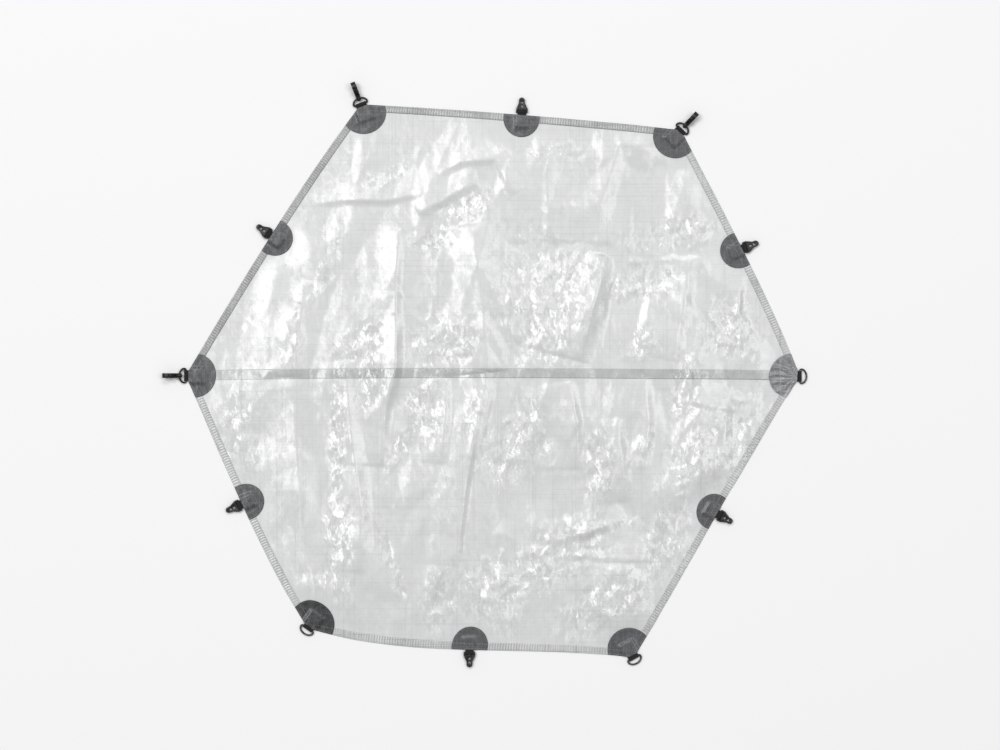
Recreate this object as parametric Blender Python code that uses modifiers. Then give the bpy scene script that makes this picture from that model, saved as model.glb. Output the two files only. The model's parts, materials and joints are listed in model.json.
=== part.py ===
"""Hexagonal tarp shelter of thin laminate, laid flat, with its corner and edge hardware.

Units are metres and +Z is up. The sheet lies on the ground plane z = 0. The origin is on that
plane at the middle of the sheet, +X runs along the centre seam towards the right corner, and +Y
towards the top edge. Each fitting hangs on a round bar held in a webbing loop: its own frame
starts at the bar's middle, u points away from the sheet, v runs along the bar and w is up.
"""

import math
from dataclasses import dataclass

import bmesh
import bpy
from mathutils import Matrix, Vector

# ---------------------------------------------------------------- sheet
RIGHT_REACH = 0.5334            # origin to the right corner's bar
LEFT_REACH = 0.5409             # origin to the left corner's bar
RIGHT_CORNER_RISE = 0.0030      # how far the laid right corner lies towards +Y
LEFT_CORNER_RISE = 0.0042
TOP_EDGE_REACH = 0.4562         # origin to the middle of the top edge
TOP_EDGE_LENGTH = 0.5618
TOP_EDGE_SHIFT = 0.0455         # the top edge's middle, along X
TOP_EDGE_TURN = -4.6            # degrees from +X
BOTTOM_EDGE_REACH = 0.4634
BOTTOM_EDGE_LENGTH = 0.5723
BOTTOM_EDGE_SHIFT = -0.0424
BOTTOM_EDGE_TURN = -5.15
SEAM_BOW = 0.0055               # the laid seam's rise between its ends
SEAM_WIDTH = 0.0170
EDGE_STEPS = 8                  # straight pieces in one laid edge

# ---------------------------------------------------------------- layers, bottom to top
SHEET_THICKNESS = 0.0005
HEM_THICKNESS = 0.0005
HEM_WIDTH = 0.0120
PATCH_THICKNESS = 0.0005
LAYER_GAP = 0.0003
HEM_MITRE_GAP = 0.0005          # tape's end to the hems

# ---------------------------------------------------------------- webbing
STRAP_THICKNESS = 0.0009
CORNER_STRAP_WIDTH = 0.0190
EDGE_STRAP_WIDTH = 0.0150
CORNER_TAIL = 0.0260            # bar to the sewn tail's end
EDGE_TAIL = 0.0240
THROAT = 0.0005                 # loop's back to where the strap's layers meet
BAR_RADIUS = 0.0017
BAR_CLEARANCE = 0.0004
TIP_CLEARANCE = 0.0015          # a corner's loop to the sheet's squared tip
EDGE_CLEARANCE = 0.0025         # an edge fitting's loop to the sheet's edge

# ---------------------------------------------------------------- reinforcement patches
CORNER_PATCH_RADIUS = 0.0380
CORNER_PATCH_INSET = 0.0160     # bar to the disc's centre
EDGE_PATCH_RADIUS = 0.0315
EDGE_PATCH_INSET = 0.0060       # sheet's edge to the disc's centre
PATCH_SIDES = 40

# ---------------------------------------------------------------- rings
RING_SIDE_CLEARANCE = 0.0004    # strap's side to where the ring starts to bend
RING_BEND_INSIDE = 0.0007       # inner radius of the bends at the bar's ends
RING_DEPTH = 0.0112             # bar's middle line to the bow's middle line
RING_BEND_STEPS = 3
RING_BOW_STEPS = 16

# ---------------------------------------------------------------- snap hooks
HOOK_TILT = 15.0                # degrees, how far a resting hook leans up on its lower side
BOSS_RADIUS = 0.0042
BOSS_LENGTH = 0.0048
STUD_RADIUS = 0.0019
STUD_CLEARANCE = 0.0004
HEAD_RADIUS = 0.0033
HEAD_THICKNESS = 0.0022
COLLAR_LENGTH = 0.0045
HOOK_THICKNESS = 0.0084
HOOK_HALF_HEIGHT = 0.0082
HOOK_WALL = 0.0040
HOOK_LENGTH = 0.0415            # bar to the hook's tip
HOOK_BLOCK_LENGTH = 0.0064      # solid root that carries the gate
HOOK_EDGE = 0.0010
NOSE_LENGTH = 0.0025            # nose's straight end past the crook
GATE_HEIGHT = 0.0034            # pivot above the hook's axis
GATE_EYE_RADIUS = 0.0020
GATE_TIP_RADIUS = 0.0015
GATE_WIDTH = 0.0038
GATE_SETBACK = 0.0018           # hook's root to the gate's eye
GATE_CLEARANCE = 0.0004
PIN_RADIUS = 0.0010
PIN_CLEARANCE = 0.0004

# ---------------------------------------------------------------- cord tensioners
TENSIONER_THICKNESS = 0.0060
TENSIONER_LIFT = 0.0004         # body's middle above the bar
TENSIONER_ARM = 0.0024          # width of each arm beside the strap
TENSIONER_SLOT_CLEARANCE = 0.0004
TENSIONER_REAR = 0.0024         # arms' ends behind the bar
TENSIONER_SHOULDER = 0.0045     # where the body is widest
NECK_START = 0.0150
NECK_HALF_WIDTH = 0.0052
TENSIONER_LENGTH = 0.0247       # bar to the rounded nose
TENSIONER_EDGE = 0.0010
TROUGH_HALF_WIDTH = 0.0030
TROUGH_DEPTH = 0.0016
TROUGH_SETBACK = 0.0028         # strap slot to the trough
TROUGH_MARGIN = 0.0016          # trough's ends to the cord slots
CORD_SLOT = 0.0036              # side of each square cord slot
CORD_BAR = 0.0032               # bar between the two cord slots

# ---------------------------------------------------------------- worked out
SHEET_TOP = SHEET_THICKNESS
HEM_BOTTOM = SHEET_TOP + LAYER_GAP
HEM_TOP = HEM_BOTTOM + HEM_THICKNESS
TAIL_BOTTOM = HEM_TOP + LAYER_GAP
TAIL_TOP = TAIL_BOTTOM + 2 * STRAP_THICKNESS
PATCH_BOTTOM = TAIL_TOP + LAYER_GAP
LOOP_BORE = BAR_RADIUS + BAR_CLEARANCE
LOOP_RADIUS = LOOP_BORE + STRAP_THICKNESS
BAR_HEIGHT = LOOP_RADIUS
TIP_SETBACK = LOOP_RADIUS + TIP_CLEARANCE
EDGE_SETBACK = LOOP_RADIUS + EDGE_CLEARANCE
RING_BEND = BAR_RADIUS + RING_BEND_INSIDE
RING_HALF_WIDTH = CORNER_STRAP_WIDTH / 2 + RING_SIDE_CLEARANCE + RING_BEND
TENSIONER_SLOT = LOOP_RADIUS + TENSIONER_SLOT_CLEARANCE
TENSIONER_SLOT_HALF = EDGE_STRAP_WIDTH / 2 + TENSIONER_SLOT_CLEARANCE
TENSIONER_HALF_WIDTH = TENSIONER_SLOT_HALF + TENSIONER_ARM
BOSS_START = RING_DEPTH - BOSS_LENGTH / 2
BOSS_END = RING_DEPTH + BOSS_LENGTH / 2
HEAD_END = BOSS_START - STUD_CLEARANCE
COLLAR_START = BOSS_END + STUD_CLEARANCE
HOOK_ROOT = COLLAR_START + COLLAR_LENGTH
CROOK_CENTRE = HOOK_LENGTH - HOOK_HALF_HEIGHT
CROOK_RADIUS = HOOK_HALF_HEIGHT - HOOK_WALL
NOSE_TIP = CROOK_CENTRE - NOSE_LENGTH
BLOCK_START = HOOK_ROOT - COLLAR_LENGTH / 3
BLOCK_END = BLOCK_START + HOOK_BLOCK_LENGTH
GATE_PIVOT = BLOCK_START + GATE_EYE_RADIUS + GATE_SETBACK
NOSE_MIDDLE = HOOK_HALF_HEIGHT - HOOK_WALL / 2
TROUGH_START = TENSIONER_SLOT + TROUGH_SETBACK
CORD_SLOT_START = TROUGH_START + TROUGH_MARGIN

CORNER_ORDER = ("right", "top_right", "top_left", "left", "bottom_left", "bottom_right")


@dataclass(frozen=True)
class Edge:
    """One laid edge, from a corner to the next one anticlockwise."""

    name: str
    start: str
    end: str
    bow: float      # how far its middle bulges out
    skew: float     # how far the bulge leans towards the end
    station: float  # share of its length where its fitting hangs
    heading: float  # degrees, the way its fitting points


EDGES = (
    Edge("upper_right", "right", "top_right", 0.0061, -0.0036, 0.512, 21.3),
    Edge("top", "top_right", "top_left", 0.0041, -0.0002, 0.498, 90.0),
    Edge("upper_left", "top_left", "left", 0.0076, -0.0029, 0.492, 145.3),
    Edge("lower_left", "left", "bottom_left", 0.0093, 0.0053, 0.499, 204.3),
    Edge("bottom", "bottom_left", "bottom_right", 0.0122, -0.0176, 0.498, 270.0),
    Edge("lower_right", "bottom_right", "right", -0.0023, -0.0047, 0.509, 330.0),
)

CORNER_HEADINGS = {
    "right": 0.0,
    "top_right": 46.3,
    "top_left": 111.0,
    "left": 180.0,
    "bottom_left": 235.3,
    "bottom_right": 298.6,
}
HOOK_CORNERS = ("top_right", "top_left", "left")
RING_CORNERS = ("right", "bottom_left", "bottom_right")


def ray(degrees):
    """Unit vector in the ground plane."""
    angle = math.radians(degrees)
    return Vector((math.cos(angle), math.sin(angle)))


def left_normal(direction):
    return Vector((-direction.y, direction.x))


def corner_points():
    """The six points where the corner bars cross the sheet's tips."""
    top = Vector((TOP_EDGE_SHIFT, TOP_EDGE_REACH))
    top_half = ray(TOP_EDGE_TURN) * TOP_EDGE_LENGTH / 2
    bottom = Vector((BOTTOM_EDGE_SHIFT, -BOTTOM_EDGE_REACH))
    bottom_half = ray(BOTTOM_EDGE_TURN) * BOTTOM_EDGE_LENGTH / 2
    return {
        "right": Vector((RIGHT_REACH, RIGHT_CORNER_RISE)),
        "top_right": top + top_half,
        "top_left": top - top_half,
        "left": Vector((-LEFT_REACH, LEFT_CORNER_RISE)),
        "bottom_left": bottom - bottom_half,
        "bottom_right": bottom + bottom_half,
    }


CORNERS = corner_points()


def edge_point(edge, share):
    """Point on a laid edge; the edges run anticlockwise, so outward is to the right."""
    chord = CORNERS[edge.end] - CORNERS[edge.start]
    outward = -left_normal(chord.normalized())
    bulge = 4 * share * (1 - share) * (edge.bow + edge.skew * (2 * share - 1))
    return CORNERS[edge.start] + chord * share + outward * bulge


def edge_tangent(edge, share):
    step = 1e-4
    return (edge_point(edge, share + step) - edge_point(edge, share - step)).normalized()


def inner_points(edge, inset):
    """Points between an edge's ends, moved in by inset, from start to end."""
    points = []
    for step in range(1, EDGE_STEPS):
        share = step / EDGE_STEPS
        points.append(edge_point(edge, share) + left_normal(edge_tangent(edge, share)) * inset)
    return points


def edges_at(corner):
    """The edge that arrives at a corner and the edge that leaves it."""
    arriving = next(edge for edge in EDGES if edge.end == corner)
    leaving = next(edge for edge in EDGES if edge.start == corner)
    return arriving, leaving


def tip_points(corner):
    """A squared tip: its cut ends on the arriving and leaving edges, and its middle."""
    arriving, leaving = edges_at(corner)
    inward = -ray(CORNER_HEADINGS[corner])
    back = -edge_tangent(arriving, 1.0)
    on = edge_tangent(leaving, 0.0)
    point = CORNERS[corner]
    cut_in = point + back * (TIP_SETBACK / back.dot(inward))
    cut_out = point + on * (TIP_SETBACK / on.dot(inward))
    return cut_in, cut_out, (cut_in + cut_out) / 2


def hem_corner(corner):
    """Where the inner sides of the two hems meet, and half the corner's angle."""
    arriving, leaving = edges_at(corner)
    back = -edge_tangent(arriving, 1.0)
    on = edge_tangent(leaving, 0.0)
    half_angle = back.angle(on) / 2
    bisector = (back + on).normalized()
    return CORNERS[corner] + bisector * (HEM_WIDTH / math.sin(half_angle)), half_angle


def seam_points():
    """Middle line of the laid centre seam, from the left tip to the right tip."""
    start = tip_points("left")[2]
    end = tip_points("right")[2]
    points = []
    for step in range(EDGE_STEPS + 1):
        share = step / EDGE_STEPS
        point = start.lerp(end, share)
        points.append(point + Vector((0, SEAM_BOW * 4 * share * (1 - share))))
    return points


# ---------------------------------------------------------------- Blender helpers
def clear_scene():
    for item in list(bpy.data.objects):
        bpy.data.objects.remove(item, do_unlink=True)


def new_collection(name):
    collection = bpy.data.collections.new(name)
    bpy.context.scene.collection.children.link(collection)
    return collection


def finish(name, grey, roughness, metallic=0.0, alpha=1.0):
    """A Principled material of one neutral tone."""
    material = bpy.data.materials.new(name)
    material.use_nodes = True
    shader = material.node_tree.nodes["Principled BSDF"]
    shader.inputs["Base Color"].default_value = (grey, grey, grey, 1.0)
    shader.inputs["Roughness"].default_value = roughness
    shader.inputs["Metallic"].default_value = metallic
    shader.inputs["Alpha"].default_value = alpha
    return material


def add_part(name, data, material):
    """A named part in the parts collection, with a material of its own."""
    part = bpy.data.objects.new(name, data)
    data.materials.append(material.copy())
    PARTS.objects.link(part)
    return part


def add_cutter(name, data):
    cutter = bpy.data.objects.new(name, data)
    cutter.hide_render = True
    cutter.display_type = "WIRE"
    CUTTERS.objects.link(cutter)
    return cutter


def outline_curve(name, loops, half_thickness):
    """A filled flat outline, with holes where a loop lies inside another."""
    curve = bpy.data.curves.new(name, "CURVE")
    curve.dimensions = "2D"
    curve.fill_mode = "BOTH"
    curve.extrude = half_thickness
    for loop in loops:
        spline = curve.splines.new("POLY")
        spline.points.add(len(loop) - 1)
        for target, (x, y) in zip(spline.points, loop):
            target.co = (x, y, 0.0, 1.0)
        spline.use_cyclic_u = True
    return curve


def curve_mesh(curve):
    """The closed mesh of a curve, with its loose caps joined on."""
    holder = bpy.data.objects.new(curve.name, curve)
    CUTTERS.objects.link(holder)
    bpy.context.view_layer.update()
    graph = bpy.context.evaluated_depsgraph_get()
    mesh = bpy.data.meshes.new_from_object(holder.evaluated_get(graph))
    bpy.data.objects.remove(holder, do_unlink=True)
    work = bmesh_from(mesh)
    bmesh.ops.remove_doubles(work, verts=work.verts, dist=1e-6)
    bmesh.ops.recalc_face_normals(work, faces=work.faces)
    work.to_mesh(mesh)
    work.free()
    return mesh


def bmesh_from(mesh):
    work = bmesh.new()
    work.from_mesh(mesh)
    return work


def turned_mesh(name, profile, sides):
    """A solid turned about its own Z, from (radius, height) points listed top to bottom."""
    work = bmesh.new()
    verts = [work.verts.new((radius, 0.0, height)) for radius, height in profile]
    edges = [work.edges.new(pair) for pair in zip(verts, verts[1:])]
    bmesh.ops.spin(
        work, geom=verts + edges, axis=(0, 0, 1), cent=(0, 0, 0), angle=2 * math.pi,
        steps=sides, use_merge=True,
    )
    bmesh.ops.remove_doubles(work, verts=work.verts, dist=1e-6)
    bmesh.ops.recalc_face_normals(work, faces=work.faces)
    mesh = bpy.data.meshes.new(name)
    work.to_mesh(mesh)
    work.free()
    return mesh


def box_mesh(name, low, high):
    """A box between two corners."""
    work = bmesh.new()
    bmesh.ops.create_cube(work, size=1.0)
    size = Vector(high) - Vector(low)
    middle = (Vector(high) + Vector(low)) / 2
    bmesh.ops.scale(work, vec=size, verts=work.verts)
    bmesh.ops.translate(work, vec=middle, verts=work.verts)
    mesh = bpy.data.meshes.new(name)
    work.to_mesh(mesh)
    work.free()
    return mesh


def rod_mesh(name, radius, start, end, sides):
    """A cylinder between two points on its axis."""
    work = bmesh.new()
    axis = Vector(end) - Vector(start)
    bmesh.ops.create_cone(
        work, cap_ends=True, segments=sides, radius1=radius, radius2=radius, depth=axis.length,
    )
    bmesh.ops.rotate(work, verts=work.verts, matrix=axis.to_track_quat("Z", "Y").to_matrix())
    bmesh.ops.translate(work, verts=work.verts, vec=(Vector(end) + Vector(start)) / 2)
    mesh = bpy.data.meshes.new(name)
    work.to_mesh(mesh)
    work.free()
    return mesh


def place(item, point, heading, tilt=0.0, upright=False):
    """Put an object's origin at a bar and turn its u axis to the heading and tilt.

    An upright outline is drawn in u and w, and any other in u and v.
    """
    turn = Matrix.Rotation(math.radians(heading), 4, "Z")
    turn = turn @ Matrix.Rotation(-math.radians(tilt), 4, "Y")
    if upright:
        turn = turn @ Matrix.Rotation(math.pi / 2, 4, "X")
    item.location = (point.x, point.y, BAR_HEIGHT)
    item.rotation_euler = turn.to_euler()


def shift(item, offset):
    """Move a placed object by an offset in its own turned frame."""
    turn = item.rotation_euler.to_matrix()
    item.location = Vector(item.location) + turn @ Vector(offset)


def boolean(part, cutter, operation):
    step = part.modifiers.new(cutter.name, "BOOLEAN")
    step.operation = operation
    step.object = cutter


def soften(part, width):
    """Narrow bevels on a plate's rims."""
    step = part.modifiers.new("rims", "BEVEL")
    step.width = width
    step.segments = 1
    step.limit_method = "ANGLE"
    step.angle_limit = math.radians(55)


def arc(centre, radius, start, end, steps):
    """Points on an arc, with both ends, from start to end in degrees."""
    points = []
    for step in range(steps + 1):
        angle = math.radians(start + (end - start) * step / steps)
        points.append((centre[0] + radius * math.cos(angle), centre[1] + radius * math.sin(angle)))
    return points


# ---------------------------------------------------------------- sheet pieces
def sheet_layer(name, outline, bottom, thickness, material):
    """A flat layer of the sheet between two heights."""
    layer = add_part(name, outline_curve(name, [outline], thickness / 2), material)
    layer.location = (0.0, 0.0, bottom + thickness / 2)
    return layer


def panel_outline(corners, side):
    """Half the sheet: from the first corner's tip round to the last one's, and back by the seam.

    side is 1 for the half above the seam and -1 for the half below.
    """
    lift = Vector((0.0, side * LAYER_GAP / 2))
    outline = [tip_points(corners[0])[2] + lift, tip_points(corners[0])[1]]
    for corner in corners[1:]:
        arriving = edges_at(corner)[0]
        outline += inner_points(arriving, 0.0)
        outline.append(tip_points(corner)[0])
        outline.append(tip_points(corner)[1])
    outline[-1] = tip_points(corners[-1])[2] + lift
    seam = [point + lift for point in seam_points()[1:-1]]
    return outline + (seam if side > 0 else seam[::-1])


def build_panels(material):
    upper = ("right", "top_right", "top_left", "left")
    lower = ("left", "bottom_left", "bottom_right", "right")
    sheet_layer("upper_panel", panel_outline(upper, 1), 0.0, SHEET_THICKNESS, material)
    sheet_layer("lower_panel", panel_outline(lower, -1), 0.0, SHEET_THICKNESS, material)


def tape_end(corner, line_end):
    """Where the seam tape stops short of both hems at the left or right corner."""
    meeting = hem_corner(corner)[0]
    inward = 1 if corner == "left" else -1
    reaches = []
    for edge, share in zip(edges_at(corner), (1.0, 0.0)):
        tangent = edge_tangent(edge, share)
        for height in (line_end.y - SEAM_WIDTH / 2, line_end.y + SEAM_WIDTH / 2):
            reaches.append(meeting.x + (height - meeting.y) * tangent.x / tangent.y)
    furthest = max(reaches) if inward > 0 else min(reaches)
    return Vector((furthest + inward * HEM_MITRE_GAP, line_end.y))


def build_seam_tape(material):
    """The tape that joins the panels, between the hems of the left and right corners."""
    half = SEAM_WIDTH / 2
    middle = seam_points()
    line = [tape_end("left", middle[0])] + middle[1:-1] + [tape_end("right", middle[-1])]
    upper = [point + Vector((0.0, half)) for point in line]
    lower = [point - Vector((0.0, half)) for point in line]
    sheet_layer("centre_seam_tape", upper + lower[::-1], HEM_BOTTOM, HEM_THICKNESS, material)


def mitre(corner, side):
    """A hem's mitred end at a corner: its outer, tip and inner points.

    side is 1 at the hem's start and -1 at its end.
    """
    cut_in, cut_out, middle = tip_points(corner)
    inner = hem_corner(corner)[0]
    across = left_normal((inner - middle).normalized()) * (-side * LAYER_GAP / 2)
    outer = cut_out if side > 0 else cut_in
    if across.dot(outer - middle) < 0:
        across = -across
    return outer, middle + across, inner + across


def build_hems(material):
    """A folded and sewn hem along each edge, mitred at the corners."""
    for edge in EDGES:
        start_outer, start_tip, start_inner = mitre(edge.start, 1)
        end_outer, end_tip, end_inner = mitre(edge.end, -1)
        outline = [start_inner, start_tip, start_outer]
        outline += inner_points(edge, 0.0)
        outline += [end_outer, end_tip, end_inner]
        outline += inner_points(edge, HEM_WIDTH)[::-1]
        sheet_layer(f"hem_{edge.name}", outline, HEM_BOTTOM, HEM_THICKNESS, material)


def sheet_cutter():
    """A tall block of the whole sheet's outline, which trims the patches to the edges."""
    outline = []
    for edge in EDGES:
        outline.append(tip_points(edge.start)[1])
        outline += inner_points(edge, 0.0)
        outline.append(tip_points(edge.end)[0])
    return add_cutter("sheet_outline", curve_mesh(outline_curve("sheet_outline", [outline], 0.02)))


def build_patch(name, centre, radius, cutter, material):
    """A thin disc of reinforcement, trimmed to the sheet."""
    work = bmesh.new()
    bmesh.ops.create_cone(
        work, cap_ends=True, segments=PATCH_SIDES, radius1=radius, radius2=radius,
        depth=PATCH_THICKNESS,
    )
    mesh = bpy.data.meshes.new(name)
    work.to_mesh(mesh)
    work.free()
    patch = add_part(name, mesh, material)
    patch.location = (centre.x, centre.y, PATCH_BOTTOM + PATCH_THICKNESS / 2)
    boolean(patch, cutter, "INTERSECT")


def build_patches(material):
    cutter = sheet_cutter()
    for corner in CORNER_ORDER:
        centre = CORNERS[corner] - ray(CORNER_HEADINGS[corner]) * CORNER_PATCH_INSET
        build_patch(f"patch_{corner}_corner", centre, CORNER_PATCH_RADIUS, cutter, material)
    for edge in EDGES:
        inward = left_normal(edge_tangent(edge, edge.station))
        centre = edge_point(edge, edge.station) + inward * EDGE_PATCH_INSET
        build_patch(f"patch_{edge.name}_edge", centre, EDGE_PATCH_RADIUS, cutter, material)


# ---------------------------------------------------------------- webbing
def build_loop(name, point, heading, width, tail, material):
    """A strap folded round a bar, with its two ends sewn flat between the sheet's layers."""
    top = TAIL_TOP - BAR_HEIGHT
    bottom = TAIL_BOTTOM - BAR_HEIGHT
    throat = -(LOOP_RADIUS + THROAT)
    outside = arc((0.0, 0.0), LOOP_RADIUS, 150, -150, 20)
    outline = [(-tail, top), (throat, top)] + outside + [(throat, bottom), (-tail, bottom)]
    bore = arc((0.0, 0.0), LOOP_BORE, 0, 345, 23)
    strap = add_part(name, outline_curve(name, [outline, bore], width / 2), material)
    place(strap, point, heading, upright=True)


def edge_bar(edge):
    """The bar of the fitting that hangs on an edge."""
    return edge_point(edge, edge.station) + ray(edge.heading) * EDGE_SETBACK


def build_webbing(material):
    for corner in CORNER_ORDER:
        build_loop(f"webbing_{corner}_corner", CORNERS[corner], CORNER_HEADINGS[corner],
                   CORNER_STRAP_WIDTH, CORNER_TAIL, material)
    for edge in EDGES:
        build_loop(f"webbing_{edge.name}_edge", edge_bar(edge), edge.heading,
                   EDGE_STRAP_WIDTH, EDGE_TAIL, material)


# ---------------------------------------------------------------- rings
def ring_line():
    """Middle line of a D-ring in u and v: a straight bar, two bends and a round bow."""
    side = RING_HALF_WIDTH - RING_BEND
    line = [(0.0, -side)]
    line += arc((RING_BEND, side), RING_BEND, 180, 90, RING_BEND_STEPS)
    for step in range(1, RING_BOW_STEPS):
        angle = math.pi / 2 - math.pi * step / RING_BOW_STEPS
        line.append((RING_BEND + (RING_DEPTH - RING_BEND) * math.cos(angle),
                     RING_HALF_WIDTH * math.sin(angle)))
    line += arc((RING_BEND, -side), RING_BEND, 270, 180, RING_BEND_STEPS)[:-1]
    return line


def ring_curve(name):
    curve = bpy.data.curves.new(name, "CURVE")
    curve.dimensions = "3D"
    curve.bevel_depth = BAR_RADIUS
    curve.bevel_resolution = 2
    line = ring_line()
    spline = curve.splines.new("POLY")
    spline.points.add(len(line) - 1)
    for target, (u, v) in zip(spline.points, line):
        target.co = (u, v, 0.0, 1.0)
    spline.use_cyclic_u = True
    return curve


def build_rings(material):
    for corner in RING_CORNERS:
        name = f"d_ring_{corner}"
        ring = add_part(name, ring_curve(name), material)
        place(ring, CORNERS[corner], CORNER_HEADINGS[corner])


# ---------------------------------------------------------------- snap hooks
def hook_outline():
    """Side view of a hook in u and w: a solid root, a spine, a round crook and a nose."""
    edge = HOOK_EDGE
    outline = [(BLOCK_START, -BOSS_RADIUS), (BLOCK_START + BOSS_RADIUS, -HOOK_HALF_HEIGHT)]
    outline += arc((CROOK_CENTRE, 0.0), HOOK_HALF_HEIGHT, -90, 90, 14)
    outline += [(NOSE_TIP + edge, HOOK_HALF_HEIGHT), (NOSE_TIP, HOOK_HALF_HEIGHT - edge)]
    outline += [(NOSE_TIP, CROOK_RADIUS + edge), (NOSE_TIP + edge, CROOK_RADIUS)]
    outline += arc((CROOK_CENTRE, 0.0), CROOK_RADIUS, 90, -90, 10)
    outline += [(BLOCK_END + edge, -CROOK_RADIUS), (BLOCK_END, edge - CROOK_RADIUS)]
    block_top = GATE_HEIGHT + GATE_EYE_RADIUS + edge
    outline += [(BLOCK_END, block_top - edge), (BLOCK_END - edge, block_top)]
    outline += [(BLOCK_START + edge, block_top), (BLOCK_START, BOSS_RADIUS)]
    return outline


def stud_profile():
    """The swivel stud, its head and its collar, as radius and height, top to bottom."""
    return [
        (0.0, HOOK_ROOT), (BOSS_RADIUS * 0.8, HOOK_ROOT), (BOSS_RADIUS, HOOK_ROOT - HOOK_EDGE),
        (BOSS_RADIUS, COLLAR_START), (STUD_RADIUS, COLLAR_START), (STUD_RADIUS, HEAD_END),
        (HEAD_RADIUS, HEAD_END), (HEAD_RADIUS, HEAD_END - HEAD_THICKNESS / 2),
        (HEAD_RADIUS * 0.6, HEAD_END - HEAD_THICKNESS), (0.0, HEAD_END - HEAD_THICKNESS),
    ]


def along_u(item, point, heading):
    """Lay a turned solid's own Z along the tilted u axis."""
    place(item, point, heading, HOOK_TILT)
    turn = item.rotation_euler.to_matrix() @ Matrix.Rotation(math.pi / 2, 3, "Y")
    item.rotation_euler = turn.to_euler()


def build_hook_frame(corner, material):
    """A ring with a boss on its bow, bored for the swivel stud."""
    point, heading = CORNERS[corner], CORNER_HEADINGS[corner]
    name = f"hook_frame_{corner}"
    frame = add_part(name, curve_mesh(ring_curve(name)), material)
    place(frame, point, heading, HOOK_TILT)
    boss = add_cutter(f"boss_{corner}", rod_mesh(
        "boss", BOSS_RADIUS, (BOSS_START, 0, 0), (BOSS_END, 0, 0), 16))
    bore = add_cutter(f"stud_bore_{corner}", rod_mesh(
        "stud_bore", STUD_RADIUS + STUD_CLEARANCE,
        (BOSS_START - BOSS_RADIUS, 0, 0), (BOSS_END + BOSS_RADIUS, 0, 0), 16))
    for cutter, operation in ((boss, "UNION"), (bore, "DIFFERENCE")):
        place(cutter, point, heading, HOOK_TILT)
        boolean(frame, cutter, operation)


def build_hook(corner, material):
    """The hook on its swivel stud, with a slot and a bore for the gate."""
    point, heading = CORNERS[corner], CORNER_HEADINGS[corner]
    name = f"swivel_hook_{corner}"
    outline = outline_curve(name, [hook_outline()], HOOK_THICKNESS / 2)
    hook = add_part(name, curve_mesh(outline), material)
    place(hook, point, heading, HOOK_TILT, upright=True)
    soften(hook, HOOK_EDGE)
    stud = add_cutter(f"stud_{corner}", turned_mesh("stud", stud_profile(), 16))
    along_u(stud, point, heading)
    boolean(hook, stud, "UNION")
    slot_half = GATE_WIDTH / 2 + GATE_CLEARANCE
    eye_room = GATE_EYE_RADIUS + GATE_CLEARANCE
    slot = add_cutter(f"gate_slot_{corner}", box_mesh(
        "gate_slot",
        (GATE_PIVOT - eye_room, GATE_HEIGHT - eye_room, -slot_half),
        (NOSE_TIP - HOOK_EDGE, HOOK_HALF_HEIGHT + HOOK_EDGE, slot_half)))
    pin_bore = add_cutter(f"pin_bore_{corner}", rod_mesh(
        "pin_bore", PIN_RADIUS + PIN_CLEARANCE,
        (GATE_PIVOT, GATE_HEIGHT, -HOOK_THICKNESS), (GATE_PIVOT, GATE_HEIGHT, HOOK_THICKNESS), 12))
    for cutter in (slot, pin_bore):
        place(cutter, point, heading, HOOK_TILT, upright=True)
        boolean(hook, cutter, "DIFFERENCE")


def gate_outline():
    """Side view of a gate, from its pivot: a round eye that tapers to a round tip."""
    tip_u = NOSE_TIP - GATE_TIP_RADIUS - 1.5 * GATE_CLEARANCE - GATE_PIVOT
    tip_w = NOSE_MIDDLE - GATE_HEIGHT
    lean = math.degrees(math.atan2(tip_w, tip_u))
    outline = arc((0.0, 0.0), GATE_EYE_RADIUS, lean + 94, lean + 266, 8)
    outline += arc((tip_u, tip_w), GATE_TIP_RADIUS, lean - 94, lean + 94, 8)
    return outline


def build_gate(corner, material):
    """The sprung gate and its pivot pin."""
    name = f"spring_gate_{corner}"
    outline = outline_curve(name, [gate_outline()], GATE_WIDTH / 2)
    gate = add_part(name, curve_mesh(outline), material)
    half_pin = HOOK_THICKNESS / 2
    pin = add_cutter(f"gate_pin_{corner}", rod_mesh(
        "gate_pin", PIN_RADIUS, (0, 0, -half_pin), (0, 0, half_pin), 12))
    for item in (gate, pin):
        place(item, CORNERS[corner], CORNER_HEADINGS[corner], HOOK_TILT, upright=True)
        shift(item, (GATE_PIVOT, GATE_HEIGHT, 0.0))
    boolean(gate, pin, "UNION")


# ---------------------------------------------------------------- cord tensioners
def tensioner_outline():
    """Plan of a tensioner in u and v: two arms round the strap, and a body that narrows."""
    slot_half = TENSIONER_SLOT_HALF
    arm = TENSIONER_HALF_WIDTH
    nose = TENSIONER_LENGTH - NECK_HALF_WIDTH
    waist = (TENSIONER_SHOULDER + NECK_START) / 2
    upper = [
        (TENSIONER_SLOT, slot_half), (-TENSIONER_REAR, slot_half),
        (-TENSIONER_REAR, arm - TENSIONER_EDGE), (TENSIONER_EDGE - TENSIONER_REAR, arm),
        (TENSIONER_SHOULDER, arm), (TENSIONER_SHOULDER + 2 * TENSIONER_EDGE, arm - TENSIONER_EDGE),
        (waist, (arm + NECK_HALF_WIDTH) / 2), (NECK_START, NECK_HALF_WIDTH),
    ]
    lower = [(u, -v) for u, v in upper]
    return upper + arc((nose, 0.0), NECK_HALF_WIDTH, 90, -90, 12) + lower[::-1]


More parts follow.
